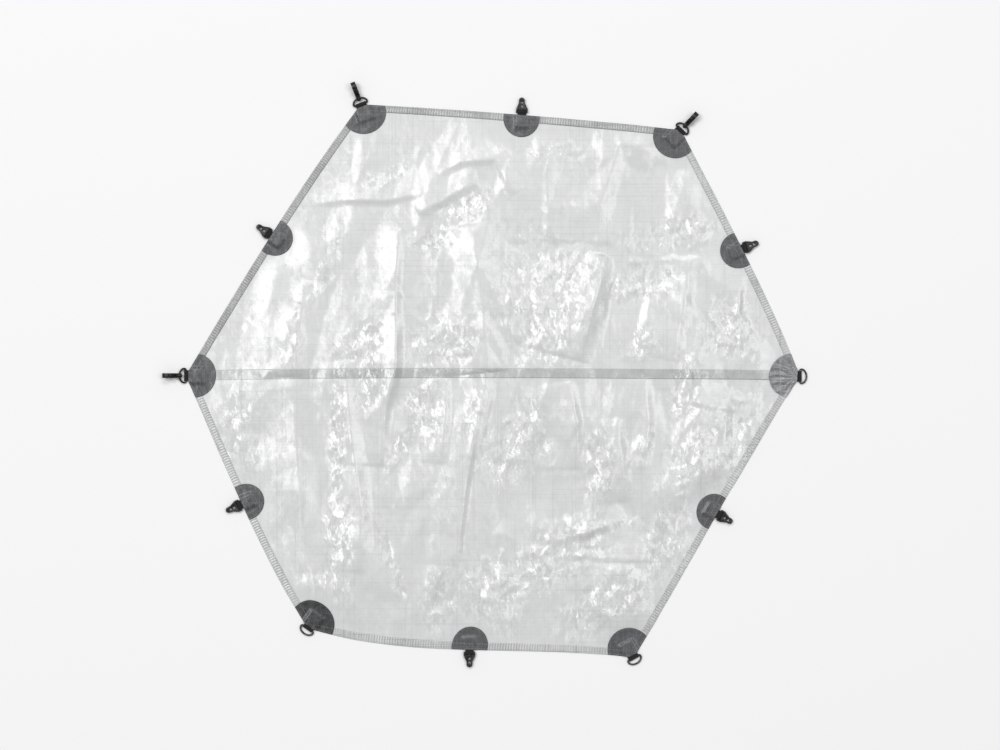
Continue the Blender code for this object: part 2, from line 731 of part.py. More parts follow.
def build_tensioner(edge, material):
    """A cord tensioner that swings on its webbing bar."""
    name = f"cord_tensioner_{edge.name}"
    point = edge_bar(edge)
    half = TENSIONER_THICKNESS / 2
    outline = outline_curve(name, [tensioner_outline()], half)
    body = add_part(name, curve_mesh(outline), material)
    place(body, point, edge.heading)
    shift(body, (0.0, 0.0, TENSIONER_LIFT))
    soften(body, TENSIONER_EDGE)
    reach = TENSIONER_HALF_WIDTH - TENSIONER_EDGE
    bar = add_cutter(f"tensioner_bar_{edge.name}", rod_mesh(
        "tensioner_bar", BAR_RADIUS, (0, -reach, 0), (0, reach, 0), 12))
    place(bar, point, edge.heading)
    boolean(body, bar, "UNION")
    slot_half = CORD_SLOT / 2
    far_slot = CORD_SLOT_START + CORD_SLOT + CORD_BAR
    trough_end = far_slot + CORD_SLOT + TROUGH_MARGIN
    cuts = {
        "cord_trough": ((TROUGH_START, -TROUGH_HALF_WIDTH, half - TROUGH_DEPTH),
                        (trough_end, TROUGH_HALF_WIDTH, 2 * half)),
        "near_cord_slot": ((CORD_SLOT_START, -slot_half, -2 * half),
                           (CORD_SLOT_START + CORD_SLOT, slot_half, 2 * half)),
        "far_cord_slot": ((far_slot, -slot_half, -2 * half),
                          (far_slot + CORD_SLOT, slot_half, 2 * half)),
    }
    for cut_name, (low, high) in cuts.items():
        cutter = add_cutter(f"{cut_name}_{edge.name}", box_mesh(cut_name, low, high))
        place(cutter, point, edge.heading)
        shift(cutter, (0.0, 0.0, TENSIONER_LIFT))
        boolean(body, cutter, "DIFFERENCE")


def main():
    laminate = finish("laminate_film", 0.72, 0.25, alpha=0.7)
    doubled = finish("doubled_laminate", 0.42, 0.35, alpha=0.9)
    patch = finish("patch_laminate", 0.12, 0.45)
    webbing = finish("black_webbing", 0.01, 0.85)
    acetal = finish("black_acetal", 0.01, 0.35)
    steel = finish("black_coated_steel", 0.01, 0.30, metallic=0.5)
    build_panels(laminate)
    build_seam_tape(doubled)
    build_hems(doubled)
    build_patches(patch)
    build_webbing(webbing)
    build_rings(steel)
    for corner in HOOK_CORNERS:
        build_hook_frame(corner, acetal)
        build_hook(corner, acetal)
        build_gate(corner, acetal)
    for edge in EDGES:
        build_tensioner(edge, acetal)


clear_scene()
PARTS = new_collection("tarp_shelter")
CUTTERS = new_collection("cutters")
main()
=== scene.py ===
"""Looks of the hexagonal tarp shelter: crinkled film panels, hems, patches, webbing, stitches and fittings.

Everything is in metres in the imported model's frame: +X runs along the centre seam, +Y towards the
top edge and +Z up. The soft pieces are cut flat, with straight edges, and then laid: one map bows
the edges and the seam and lifts the film into its folds and crumples.
"""

import json
import logging
import math
import random
from dataclasses import dataclass, field
from enum import Enum
from typing import Callable, Iterable, Sequence

import bmesh
import bpy
import numpy as np
from mathutils import Matrix, Vector
from mathutils.bvhtree import BVHTree
from mathutils.geometry import delaunay_2d_cdt

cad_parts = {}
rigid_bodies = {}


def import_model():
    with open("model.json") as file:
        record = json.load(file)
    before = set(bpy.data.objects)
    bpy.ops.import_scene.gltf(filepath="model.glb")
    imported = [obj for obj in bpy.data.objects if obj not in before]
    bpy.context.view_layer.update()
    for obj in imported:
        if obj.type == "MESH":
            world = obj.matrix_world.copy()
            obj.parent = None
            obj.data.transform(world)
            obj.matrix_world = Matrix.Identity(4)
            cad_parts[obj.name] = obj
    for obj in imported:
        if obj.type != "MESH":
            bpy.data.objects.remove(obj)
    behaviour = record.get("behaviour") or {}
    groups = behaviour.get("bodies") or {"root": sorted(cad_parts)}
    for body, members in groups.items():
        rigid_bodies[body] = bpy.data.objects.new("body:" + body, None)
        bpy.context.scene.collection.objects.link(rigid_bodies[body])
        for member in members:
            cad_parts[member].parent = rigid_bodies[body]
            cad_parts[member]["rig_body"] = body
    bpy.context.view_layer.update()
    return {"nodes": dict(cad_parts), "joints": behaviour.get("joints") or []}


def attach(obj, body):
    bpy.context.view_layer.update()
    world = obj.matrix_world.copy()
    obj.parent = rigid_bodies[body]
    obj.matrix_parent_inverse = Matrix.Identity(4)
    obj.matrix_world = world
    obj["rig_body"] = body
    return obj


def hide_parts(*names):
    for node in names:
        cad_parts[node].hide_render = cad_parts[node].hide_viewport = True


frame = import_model()
log = logging.getLogger("tarp_shelter")

Point = tuple[float, float]
Output = bpy.types.NodeSocket


# ---------------------------------------------------------------- material helpers
def linear(code: str) -> tuple[float, float, float, float]:
    """Turn an sRGB hex colour into linear RGBA.

    Args:
        code: Six hex digits, with or without a leading #.

    Returns:
        Red, green, blue and an alpha of 1.
    """
    digits = code.lstrip("#")
    channels = []
    for start in (0, 2, 4):
        value = int(digits[start:start + 2], 16) / 255
        channels.append(value / 12.92 if value <= 0.04045 else ((value + 0.055) / 1.055) ** 2.4)
    return (channels[0], channels[1], channels[2], 1.0)


def add_node(tree: bpy.types.NodeTree, kind: str, inputs: dict | None = None, **settings) -> bpy.types.Node:
    """Add a node, set its options and fill its inputs.

    Args:
        tree: Node tree that takes the node.
        kind: Blender's name of the node type.
        inputs: Input names or numbers, each with a value or another node's output.
        **settings: The node's own options.

    Returns:
        The new node.
    """
    made = tree.nodes.new(kind)
    for option, value in settings.items():
        setattr(made, option, value)
    fill_inputs(made, inputs or {})
    return made


def fill_inputs(node: bpy.types.Node, inputs: dict) -> None:
    """Link or set a node's inputs.

    Args:
        node: The node.
        inputs: Input names or numbers, each with a value or another node's output.
    """
    for key, value in inputs.items():
        if isinstance(value, Output):
            node.id_data.links.new(value, node.inputs[key])
        else:
            node.inputs[key].default_value = value


def new_material(name: str) -> tuple[bpy.types.Material, bpy.types.NodeTree, bpy.types.Node]:
    """Start a material.

    Args:
        name: Name of the real material and process.

    Returns:
        The material, its node tree and its Principled shader.
    """
    material = bpy.data.materials.new(name)
    material.use_nodes = True
    tree = material.node_tree
    return material, tree, tree.nodes["Principled BSDF"]


MM = 1000.0  # Object coordinates are metres, so a pattern of N mm has a scale of MM / N
WAVE_PERIOD = 2 * math.pi / 20  # width of one band of the wave texture at a scale of 1


# ---------------------------------------------------------------- finishes
@dataclass(frozen=True)
class FilmLaminate:
    """Two polyester films bonded over a sparse grid of fibres.

    The film is milky and glossy. Handling leaves it full of sharp little facets, which flash
    white where they face a light, and the fibres show as faint straight lines both ways.
    """

    name: str
    colour: str
    # second tone: of the fibres and the random mottle, and of the painted shade in the puckers' valleys
    second_colour: str
    opacity: float = 1.0
    roughness: float = 0.40     # the film's body
    gloss: float = 1.0          # share of the outer film's clear gloss
    gloss_roughness: float = 0.25
    body_ior: float = 1.8       # above polyester's own, to stand for the mirroring of every ply
    coat_ior: float = 1.6
    fine_facet_mm: float = 3.2
    coarse_facet_mm: float = 8.0
    fine_tilt: float = 0.17     # range of a facet's slope where the film is fully crumpled
    coarse_tilt: float = 0.23
    fibre_pitch_mm: float = 2.6
    fibre_show: float = 0.10
    crease_highlight_show: float = 0.42     # how much painted highlight whitens the film along its facets' crease lines
    pleat_shade_show: float = 1.0     # how much darker a pucker's valley is: painted shade, where the film also lies double

    def build(self) -> bpy.types.Material:
        """Make the material."""
        material, tree, shader = new_material(self.name)
        place = add_node(tree, "ShaderNodeTexCoord").outputs["Object"]
        drift = add_node(tree, "ShaderNodeTexNoise", {
            "Vector": place, "Scale": MM / 30.0, "Detail": 1.0}).outputs["Color"]
        pull = add_node(tree, "ShaderNodeVectorMath", {0: drift, 1: (0.5, 0.5, 0.5)}, operation="SUBTRACT")
        bent = add_node(tree, "ShaderNodeVectorMath", {
            0: pull.outputs[0], 1: (0.010, 0.010, 0.0), 2: place}, operation="MULTIPLY_ADD").outputs[0]
        long = add_node(tree, "ShaderNodeVectorMath", {0: bent, 1: (1.0, 0.62, 1.0)},
                        operation="MULTIPLY").outputs[0]
        crumple = add_node(tree, "ShaderNodeAttribute", attribute_name="crumple").outputs["Fac"]
        fine = self.facets(tree, long, self.fine_facet_mm, self.fine_tilt)
        coarse = self.facets(tree, long, self.coarse_facet_mm, self.coarse_tilt)
        tilt = add_node(tree, "ShaderNodeVectorMath", {0: fine, 1: coarse}, operation="ADD").outputs[0]
        tilt = add_node(tree, "ShaderNodeVectorMath", {0: tilt, "Scale": crumple},
                        operation="SCALE").outputs[0]
        upright = add_node(tree, "ShaderNodeNewGeometry").outputs["Normal"]
        tilted = add_node(tree, "ShaderNodeVectorMath", {0: upright, 1: tilt}, operation="ADD").outputs[0]
        normal = add_node(tree, "ShaderNodeVectorMath", {0: tilted}, operation="NORMALIZE").outputs[0]
        lines = self.fibres(tree, place)
        normal = add_node(tree, "ShaderNodeBump", {
            "Strength": 0.25, "Distance": 0.00006, "Height": lines, "Normal": normal}).outputs["Normal"]
        cloud = add_node(tree, "ShaderNodeTexNoise", {
            "Vector": place, "Scale": MM / 70.0, "Detail": 5.0, "Roughness": 0.6}).outputs["Fac"]
        shade = add_node(tree, "ShaderNodeMath", {0: lines, 1: self.fibre_show * 4, 2: cloud},
                         operation="MULTIPLY_ADD").outputs[0]
        # Painted shade: darker in the valleys of the hems' puckers, where the film also lies double
        pleat = add_node(tree, "ShaderNodeAttribute", attribute_name="pleat").outputs["Fac"]
        shade = add_node(tree, "ShaderNodeMath", {0: pleat, 1: self.pleat_shade_show, 2: shade},
                         operation="MULTIPLY_ADD").outputs[0]
        tone = add_node(tree, "ShaderNodeMix", {
            0: shade, 6: linear(self.colour), 7: linear(self.second_colour)},
            data_type="RGBA", clamp_factor=True).outputs[2]
        # Painted highlight: the colour is mixed towards white along the facets' rims, the more so where the
        # film is crumpled
        rim = add_node(tree, "ShaderNodeTexVoronoi", {"Vector": long, "Scale": MM / self.coarse_facet_mm},
                       voronoi_dimensions="2D", feature="DISTANCE_TO_EDGE").outputs["Distance"]
        crease_highlight = add_node(tree, "ShaderNodeMapRange", {
            "Value": rim, "From Max": 0.055, "To Min": self.crease_highlight_show, "To Max": 0.0}).outputs[0]
        crease_highlight = add_node(tree, "ShaderNodeMath", {0: crease_highlight, 1: crumple}, operation="MULTIPLY").outputs[0]
        tone = add_node(tree, "ShaderNodeMix", {0: crease_highlight, 6: tone, 7: (1.0, 1.0, 1.0, 1.0)},
                        data_type="RGBA").outputs[2]
        rough = add_node(tree, "ShaderNodeMapRange", {
            "Value": cloud, "To Min": self.roughness * 0.8, "To Max": self.roughness * 1.25}).outputs[0]
        fill_inputs(shader, {
            "Base Color": tone, "Roughness": rough, "Normal": normal, "Coat Normal": normal,
            "IOR": self.body_ior, "Coat Weight": self.gloss, "Coat Roughness": self.gloss_roughness,
            "Coat IOR": self.coat_ior, "Alpha": self.opacity})
        return material

    @staticmethod
    def facets(tree: bpy.types.NodeTree, place: Output, size_mm: float, tilt: float) -> Output:
        """Slopes of flat facets, each leaning its own way.

        Args:
            tree: Node tree.
            place: Coordinates in metres.
            size_mm: Width of a facet.
            tilt: Range of its slope.

        Returns:
            A sideways vector to add to the surface normal.
        """
        chance = add_node(tree, "ShaderNodeTexVoronoi", {"Vector": place, "Scale": MM / size_mm},
                          voronoi_dimensions="2D", feature="F1").outputs["Color"]
        centred = add_node(tree, "ShaderNodeVectorMath", {0: chance, 1: (0.5, 0.5, 0.5)},
                           operation="SUBTRACT").outputs[0]
        return add_node(tree, "ShaderNodeVectorMath", {0: centred, 1: (tilt, tilt, 0.0)},
                        operation="MULTIPLY").outputs[0]

    def fibres(self, tree: bpy.types.NodeTree, place: Output) -> Output:
        """Faint straight fibre lines both ways, some stretches stronger than others.

        Args:
            tree: Node tree.
            place: Coordinates in metres.

        Returns:
            1 on a strong fibre and 0 beside it.
        """
        pitch = MM / self.fibre_pitch_mm
        total = None
        for stretch in ((3.0, pitch, 0.0), (pitch * 0.8, 3.0, 0.0)):
            along = add_node(tree, "ShaderNodeVectorMath", {0: place, 1: stretch}, operation="MULTIPLY")
            grain = add_node(tree, "ShaderNodeTexNoise", {
                "Vector": along.outputs[0], "Scale": 1.0, "Detail": 1.0}).outputs["Fac"]
            line = add_node(tree, "ShaderNodeMapRange", {
                "Value": grain, "From Min": 0.56, "From Max": 0.72}).outputs[0]
            total = line if total is None else add_node(
                tree, "ShaderNodeMath", {0: total, 1: line}, operation="ADD").outputs[0]
        return total


@dataclass(frozen=True)
class WovenTape:
    """Flat woven polyester webbing: matt yarns that cross in short raised floats."""

    name: str
    colour: str
    weave_mm: float = 2.82743   # drawn about three times too coarse, so that the weave shows

    def build(self) -> bpy.types.Material:
        """Make the material, which follows the strap by its UV map in metres."""
        material, tree, shader = new_material(self.name)
        place = add_node(tree, "ShaderNodeUVMap", uv_map="strap").outputs["UV"]
        waves = []
        for direction in ("X", "Y"):
            waves.append(add_node(tree, "ShaderNodeTexWave", {
                "Vector": place, "Scale": MM / self.weave_mm * WAVE_PERIOD},
                wave_type="BANDS", bands_direction=direction).outputs["Fac"])
        weave = add_node(tree, "ShaderNodeMath", {0: waves[0], 1: waves[1]},
                         operation="MULTIPLY").outputs[0]
        fuzz = add_node(tree, "ShaderNodeTexNoise", {"Vector": place, "Scale": MM / 0.4}).outputs["Fac"]
        height = add_node(tree, "ShaderNodeMath", {0: fuzz, 1: 0.3, 2: weave},
                          operation="MULTIPLY_ADD").outputs[0]
        normal = add_node(tree, "ShaderNodeBump", {
            "Strength": 0.8, "Distance": 0.00018, "Height": height}).outputs["Normal"]
        # Painted highlight: the raised floats are mixed to a lighter tone than the yarn's own black
        base = linear(self.colour)
        float_highlight = tuple(min(1.0, channel * 2.2) for channel in base[:3]) + (1.0,)
        tone = add_node(tree, "ShaderNodeMix", {0: weave, 6: base, 7: float_highlight}, data_type="RGBA").outputs[2]
        fill_inputs(shader, {"Base Color": tone, "Normal": normal, "Roughness": 0.8, "Sheen Weight": 0.15})
        return material


@dataclass(frozen=True)
class MouldedPlastic:
    """Injection-moulded acetal: dense satin plastic with a fine spark-eroded grain and rubbed rims."""

    name: str
    colour: str = "#08080a"
    # tone of the rubbed wear
    second_colour: str = "#131315"
    roughness: float = 0.36
    grain_mm: float = 0.35

    def build(self) -> bpy.types.Material:
        """Make the material."""
        material, tree, shader = new_material(self.name)
        place = add_node(tree, "ShaderNodeTexCoord").outputs["Object"]
        grain = add_node(tree, "ShaderNodeTexNoise", {
            "Vector": place, "Scale": MM / self.grain_mm, "Detail": 2.0}).outputs["Fac"]
        rub = add_node(tree, "ShaderNodeTexNoise", {
            "Vector": place, "Scale": MM / 6.0, "Detail": 6.0, "Roughness": 0.7}).outputs["Fac"]
        worn = add_node(tree, "ShaderNodeMapRange", {
            "Value": rub, "From Min": 0.5, "From Max": 0.75}).outputs[0]
        tone = add_node(tree, "ShaderNodeMix", {
            0: worn, 6: linear(self.colour), 7: linear(self.second_colour)}, data_type="RGBA").outputs[2]
        rough = add_node(tree, "ShaderNodeMapRange", {
            "Value": rub, "To Min": self.roughness * 0.75, "To Max": self.roughness * 1.4}).outputs[0]
        normal = add_node(tree, "ShaderNodeBump", {
            "Strength": 0.35, "Distance": 0.00005, "Height": grain}).outputs["Normal"]
        fill_inputs(shader, {"Base Color": tone, "Roughness": rough, "Normal": normal, "IOR": 1.48})
        return material


@dataclass(frozen=True)
class CoatedSteel:
    """Steel wire under black electrophoretic paint: a thin, slightly orange-peeled gloss."""

    name: str
    colour: str = "#060607"

    def build(self) -> bpy.types.Material:
        """Make the material."""
        material, tree, shader = new_material(self.name)
        place = add_node(tree, "ShaderNodeTexCoord").outputs["Object"]
        peel = add_node(tree, "ShaderNodeTexNoise", {"Vector": place, "Scale": MM / 0.9}).outputs["Fac"]
        rub = add_node(tree, "ShaderNodeTexNoise", {
            "Vector": place, "Scale": MM / 4.0, "Detail": 6.0}).outputs["Fac"]
        tone = add_node(tree, "ShaderNodeMix", {
            0: rub, 6: linear(self.colour), 7: linear("#101011")}, data_type="RGBA").outputs[2]
        rough = add_node(tree, "ShaderNodeMapRange", {
            "Value": rub, "To Min": 0.18, "To Max": 0.42}).outputs[0]
        normal = add_node(tree, "ShaderNodeBump", {
            "Strength": 0.3, "Distance": 0.00004, "Height": peel}).outputs["Normal"]
        fill_inputs(shader, {"Base Color": tone, "Roughness": rough, "Normal": normal,
                             "Coat Weight": 0.6, "Coat Roughness": 0.15})
        return material


@dataclass(frozen=True)
class SewingThread:
    """Twisted bonded polyester thread with a soft sheen."""

    name: str
    colour: str

    def build(self) -> bpy.types.Material:
        """Make the material."""
        material, tree, shader = new_material(self.name)
        place = add_node(tree, "ShaderNodeTexCoord").outputs["Object"]
        ply = add_node(tree, "ShaderNodeTexNoise", {"Vector": place, "Scale": MM / 0.5}).outputs["Fac"]
        base = linear(self.colour)
        dark = tuple(channel * 0.6 for channel in base[:3]) + (1.0,)
        tone = add_node(tree, "ShaderNodeMix", {0: ply, 6: dark, 7: base}, data_type="RGBA").outputs[2]
        fill_inputs(shader, {"Base Color": tone, "Roughness": 0.55, "Sheen Weight": 0.2})
        return material


@dataclass(frozen=True)
class StudioPaper:
    """Matt white background paper with a faint tooth."""

    name: str = "studio_background_paper"
    colour: str = "#f4f4f4"

    def build(self) -> bpy.types.Material:
        """Make the material."""
        material, tree, shader = new_material(self.name)
        place = add_node(tree, "ShaderNodeTexCoord").outputs["Object"]
        tooth = add_node(tree, "ShaderNodeTexNoise", {"Vector": place, "Scale": MM / 2.0}).outputs["Fac"]
        normal = add_node(tree, "ShaderNodeBump", {
            "Strength": 0.02, "Distance": 0.0001, "Height": tooth}).outputs["Normal"]
        fill_inputs(shader, {"Normal": normal, "Base Color": linear(self.colour), "Roughness": 0.95,
                             "Specular IOR Level": 0.1})
        return material


# ---------------------------------------------------------------- mesh helpers
def object_from(work: bmesh.types.BMesh, name: str, material: bpy.types.Material,
                smooth_angle: float = 40.0) -> bpy.types.Object:
    """Turn a bmesh into a smooth-shaded object in the scene.

    Args:
        work: The bmesh, which is freed.
        name: Name of the piece.
        material: Its material.
        smooth_angle: Degrees past which an edge stays sharp.

    Returns:
        The object, at the origin.
    """
    mesh = bpy.data.meshes.new(name)
    work.to_mesh(mesh)
    work.free()
    mesh.materials.append(material)
    mesh.shade_smooth()
    mesh.set_sharp_from_angle(angle=math.radians(smooth_angle))
    piece = bpy.data.objects.new(name, mesh)
    bpy.context.scene.collection.objects.link(piece)
    return piece


def cut_away(work: bmesh.types.BMesh, point: Vector, normal: Vector) -> None:
    """Cut a flat piece along a line and drop what lies on the normal's side.

    Args:
        work: Bmesh in the ground plane.
        point: A point on the line, as (x, y).
        normal: The side that is dropped, as (x, y).
    """
    everything = work.verts[:] + work.edges[:] + work.faces[:]
    bmesh.ops.bisect_plane(work, geom=everything, dist=1e-7, plane_co=(point[0], point[1], 0.0),
                           plane_no=(normal[0], normal[1], 0.0), clear_outer=True)


def flat_cloth(low: Point, high: Point, pitch: float) -> bmesh.types.BMesh:
    """A flat grid between two corners in the ground plane.

    Args:
        low: Lowest x and y.
        high: Highest x and y.
        pitch: Width of a grid square.

    Returns:
        The grid as a bmesh.
    """
    width, depth = high[0] - low[0], high[1] - low[1]
    work = bmesh.new()
    bmesh.ops.create_grid(work, x_segments=max(2, round(width / pitch)),
                          y_segments=max(2, round(depth / pitch)), size=0.5)
    bmesh.ops.scale(work, vec=(width, depth, 1.0), verts=work.verts)
    bmesh.ops.translate(work, vec=((low[0] + high[0]) / 2, (low[1] + high[1]) / 2, 0.0), verts=work.verts)
    return work


def positions(work: bmesh.types.BMesh) -> np.ndarray:
    """Vertex positions of a bmesh, one row each."""
    return np.array([vert.co for vert in work.verts], float).reshape(-1, 3)


def ray(degrees: float) -> Vector:
    """Unit vector in the ground plane."""
    return Vector((math.cos(math.radians(degrees)), math.sin(math.radians(degrees))))


def soft_step(value: np.ndarray, low: float, high: float) -> np.ndarray:
    """Smooth rise from 0 at low to 1 at high; high may be the smaller."""
    share = np.clip((value - low) / (high - low), 0.0, 1.0)
    return share * share * (3 - 2 * share)


# ---------------------------------------------------------------- the laid sheet
@dataclass(frozen=True)
class LaidEdge:
    """One edge of the sheet, anticlockwise from a corner to the next, and how it bows when laid."""

    name: str
    start: str
    end: str
    bow: float      # bulge at the middle
    skew: float     # how far the bulge leans towards the end
    station: float  # share of its length where its fitting hangs


EDGES = (
    LaidEdge("upper_right", "right", "top_right", 0.0061, -0.0036, 0.512),
    LaidEdge("top", "top_right", "top_left", 0.0041, -0.0002, 0.498),
    LaidEdge("upper_left", "top_left", "left", 0.0076, -0.0029, 0.492),
    LaidEdge("lower_left", "left", "bottom_left", 0.0093, 0.0053, 0.499),
    LaidEdge("bottom", "bottom_left", "bottom_right", 0.0122, -0.0176, 0.498),
    LaidEdge("lower_right", "bottom_right", "right", -0.0023, -0.0047, 0.509),
)


@dataclass(frozen=True)
class Fitting:
    """Where a fitting hangs: its bar's middle, its heading and its body."""

    name: str
    bar: Vector
    heading: Vector
    body: str
    strap_width: float
    tail: float


@dataclass(frozen=True)
class Fold:
    """A crease left by packing: a ridge, or a valley where its rise is negative.

    The film falls off over one distance on the left of the path's direction and another on its right.
    """

    path: tuple[Point, ...]
    rise: float
    left: float
    right: float


@dataclass(frozen=True)
class Crumple:
    """A patch of film that handling has crushed into facets."""

    middle: Point
    reach: Point            # half its length and half its width
    heading: float = 90.0   # degrees, the way its length and its creases run
    rise: float = 0.0007
    grain: float = 0.012
    stretch: float = 1.8    # how much longer than wide its facets are
    gloss: float = 1.0      # how strongly the finest facets show


class FoldNet:
    """A flat-faceted surface between scattered points, with a sharp crease along every edge.

    It is drawn once, a unit apart, and each crumple reads its own part of it at its own size.
    """

    def __init__(self, seed: int, reach: int) -> None:
        """Scatter the points and join them.

        Args:
            seed: Seed of the scatter.
            reach: Half the net's side in units.
        """
        chance = random.Random(seed)
        points, heights = [], []
        for row in range(-reach, reach + 1):
            for column in range(-reach, reach + 1):
                across = column + chance.uniform(-0.42, 0.42)
                points.append(Vector((across, row + chance.uniform(-0.42, 0.42))))
                heights.append(chance.uniform(-1.0, 1.0))
        verts, _, faces, sources, _, _ = delaunay_2d_cdt(points, [], [], 0, 1e-6)
        solid = [(vert.x, vert.y, heights[source[0]]) for vert, source in zip(verts, sources)]
        self.tree = BVHTree.FromPolygons(solid, faces)
        self.limit = reach - 1.0

    def heights(self, across: np.ndarray, along: np.ndarray) -> np.ndarray:
        """Height of the net, from -1 to 1.

        Args:
            across: First coordinates in units.
            along: Second coordinates in units.

        Returns:
            One height for each place.
        """
        limit = self.limit
        down = Vector((0.0, 0.0, -1.0))
        found = np.zeros(len(across))
        for index, (x, y) in enumerate(zip(across, along)):
            place = Vector((min(max(x, -limit), limit), min(max(y, -limit), limit), 2.0))
            hit = self.tree.ray_cast(place, down)[0]
            if hit is not None:
                found[index] = hit.z
        return found


@dataclass
class LaidRelief:
    """How the film stands off the ground: loft, packing folds and crumples."""

    loft: float = 0.0030            # how far the slack film stands up away from the edges
    wave: float = 0.0016            # slow waves on top of that
    creases: tuple[tuple[float, float, float], ...] = (     # grain, rise and stretch of the creases all over
        (0.062, 0.0034, 1.7), (0.027, 0.0014, 1.8), (0.0120, 0.00030, 1.6))
    lean: float = 0.9               # creases stand this share higher a metre towards +X, to catch the
                                    # light evenly; it is no feature of the sheet
    handled: float = 0.24           # how finely the film is crumpled outside the crumples
    calm_reach: tuple[float, float] = (0.036, 0.085)    # flat this near a fitting, and free from here
    loft_reach: tuple[float, float] = (0.004, 0.110)    # the loft grows between these edge distances
    crease_reach: tuple[float, float] = (0.002, 0.040)  # and the creases between these
    crumple_reach: tuple[float, float] = (1.50, 0.45)   # a crumple's outer and inner rim, by its own size
    floor: float = 0.0001           # nothing lies lower
    folds: tuple[Fold, ...] = ()
    crumples: tuple[Crumple, ...] = ()
    fittings: tuple[Fitting, ...] = ()
    net: FoldNet = field(default_factory=lambda: FoldNet(seed=7, reach=52))

    def calm(self, places: np.ndarray) -> np.ndarray:
        """Share of the relief that is left near the fittings, from 0 at one to 1 away from all."""
        share = np.ones(len(places))
        for fitting in self.fittings:
            gap = np.hypot(places[:, 0] - fitting.bar.x, places[:, 1] - fitting.bar.y)
            share *= soft_step(gap, *self.calm_reach)
        return share

    def fold_height(self, fold: Fold, places: np.ndarray) -> np.ndarray:
        """Height that one fold adds at each place."""
        nearest = np.full(len(places), 1e9)
        side = np.ones(len(places))
        along = np.zeros(len(places))
        lengths = [math.dist(a, b) for a, b in zip(fold.path, fold.path[1:])]
        passed = 0.0
        for (a, b), length in zip(zip(fold.path, fold.path[1:]), lengths):
            heading = (np.array(b) - np.array(a)) / length
            offset = places - np.array(a)
            run = np.clip(offset @ heading, 0.0, length)
            gap = offset - run[:, None] * heading
            distance = np.hypot(gap[:, 0], gap[:, 1])
            closer = distance < nearest
            nearest = np.where(closer, distance, nearest)
            left_of = heading[0] * offset[:, 1] - heading[1] * offset[:, 0] > 0
            side = np.where(closer, left_of, side)
            along = np.where(closer, (passed + run) / sum(lengths), along)
            passed += length
        reach = np.where(side > 0, fold.left, fold.right)
        profile = np.clip(1 - nearest / reach, 0.0, 1.0)
        taper = np.sqrt(np.clip(np.sin(np.pi * np.clip(along, 0.0, 1.0)), 0.0, 1.0))
        return fold.rise * profile ** 1.25 * taper

    def crumple_mask(self, crumple: Crumple,
                     places: np.ndarray) -> tuple[np.ndarray, np.ndarray, np.ndarray]:
        """How strongly a crumple shows at each place, and the places in its own frame."""
        heading = ray(crumple.heading)
        offset = places - np.array(crumple.middle)
        along = offset @ np.array((heading.x, heading.y))
        across = offset @ np.array((-heading.y, heading.x))
        radius = np.hypot(along / crumple.reach[0], across / crumple.reach[1])
        ragged = radius + 0.13 * np.sin(along / 0.011 + 2.0) * np.sin(across / 0.009)
        return soft_step(ragged, *self.crumple_reach), along, across

    def measure(self, places: np.ndarray, edge_distance: np.ndarray) -> tuple[np.ndarray, np.ndarray]:
        """Height of the film and how finely it is crumpled at each place.

        Args:
            places: Laid x and y, one row each.
            edge_distance: Distance to the nearest edge.

        Returns:
            Heights in metres, and crumple strengths from 0 to about 1.
        """
        x, y = places[:, 0], places[:, 1]
        height = self.loft + self.wave * (
            np.sin(x / 0.071 + 1.3 * np.sin(y / 0.16)) * 0.5 + np.sin(y / 0.093 + x / 0.21 + 0.8) * 0.5)
        for fold in self.folds:
            height += self.fold_height(fold, places)
        height *= 0.15 + 0.85 * soft_step(edge_distance, *self.loft_reach)
        inside = (0.40 + 0.60 * soft_step(edge_distance, *self.crease_reach)) * (1 + self.lean * x)
        for grain, rise, stretch in self.creases:
            height += inside * rise * self.net.heights(x / grain + 3.3, y / (grain * stretch) - 2.1)
        strength = np.full(len(places), self.handled)
        for number, crumple in enumerate(self.crumples):
            mask, along, across = self.crumple_mask(crumple, places)
            felt = mask > 0.003
            part = self.net.heights(
                across[felt] / crumple.grain + 5.3 * math.sin(number),
                along[felt] / (crumple.grain * crumple.stretch) + 5.3 * math.cos(number * 1.7))
            height[felt] += crumple.rise * (mask * inside)[felt] * part
            strength = np.maximum(strength, self.handled + (1 - self.handled) * mask * crumple.gloss)
        calm = self.calm(places)
        height *= calm
        return np.maximum(height, 0.0) + self.floor, strength * (0.35 + 0.65 * calm)


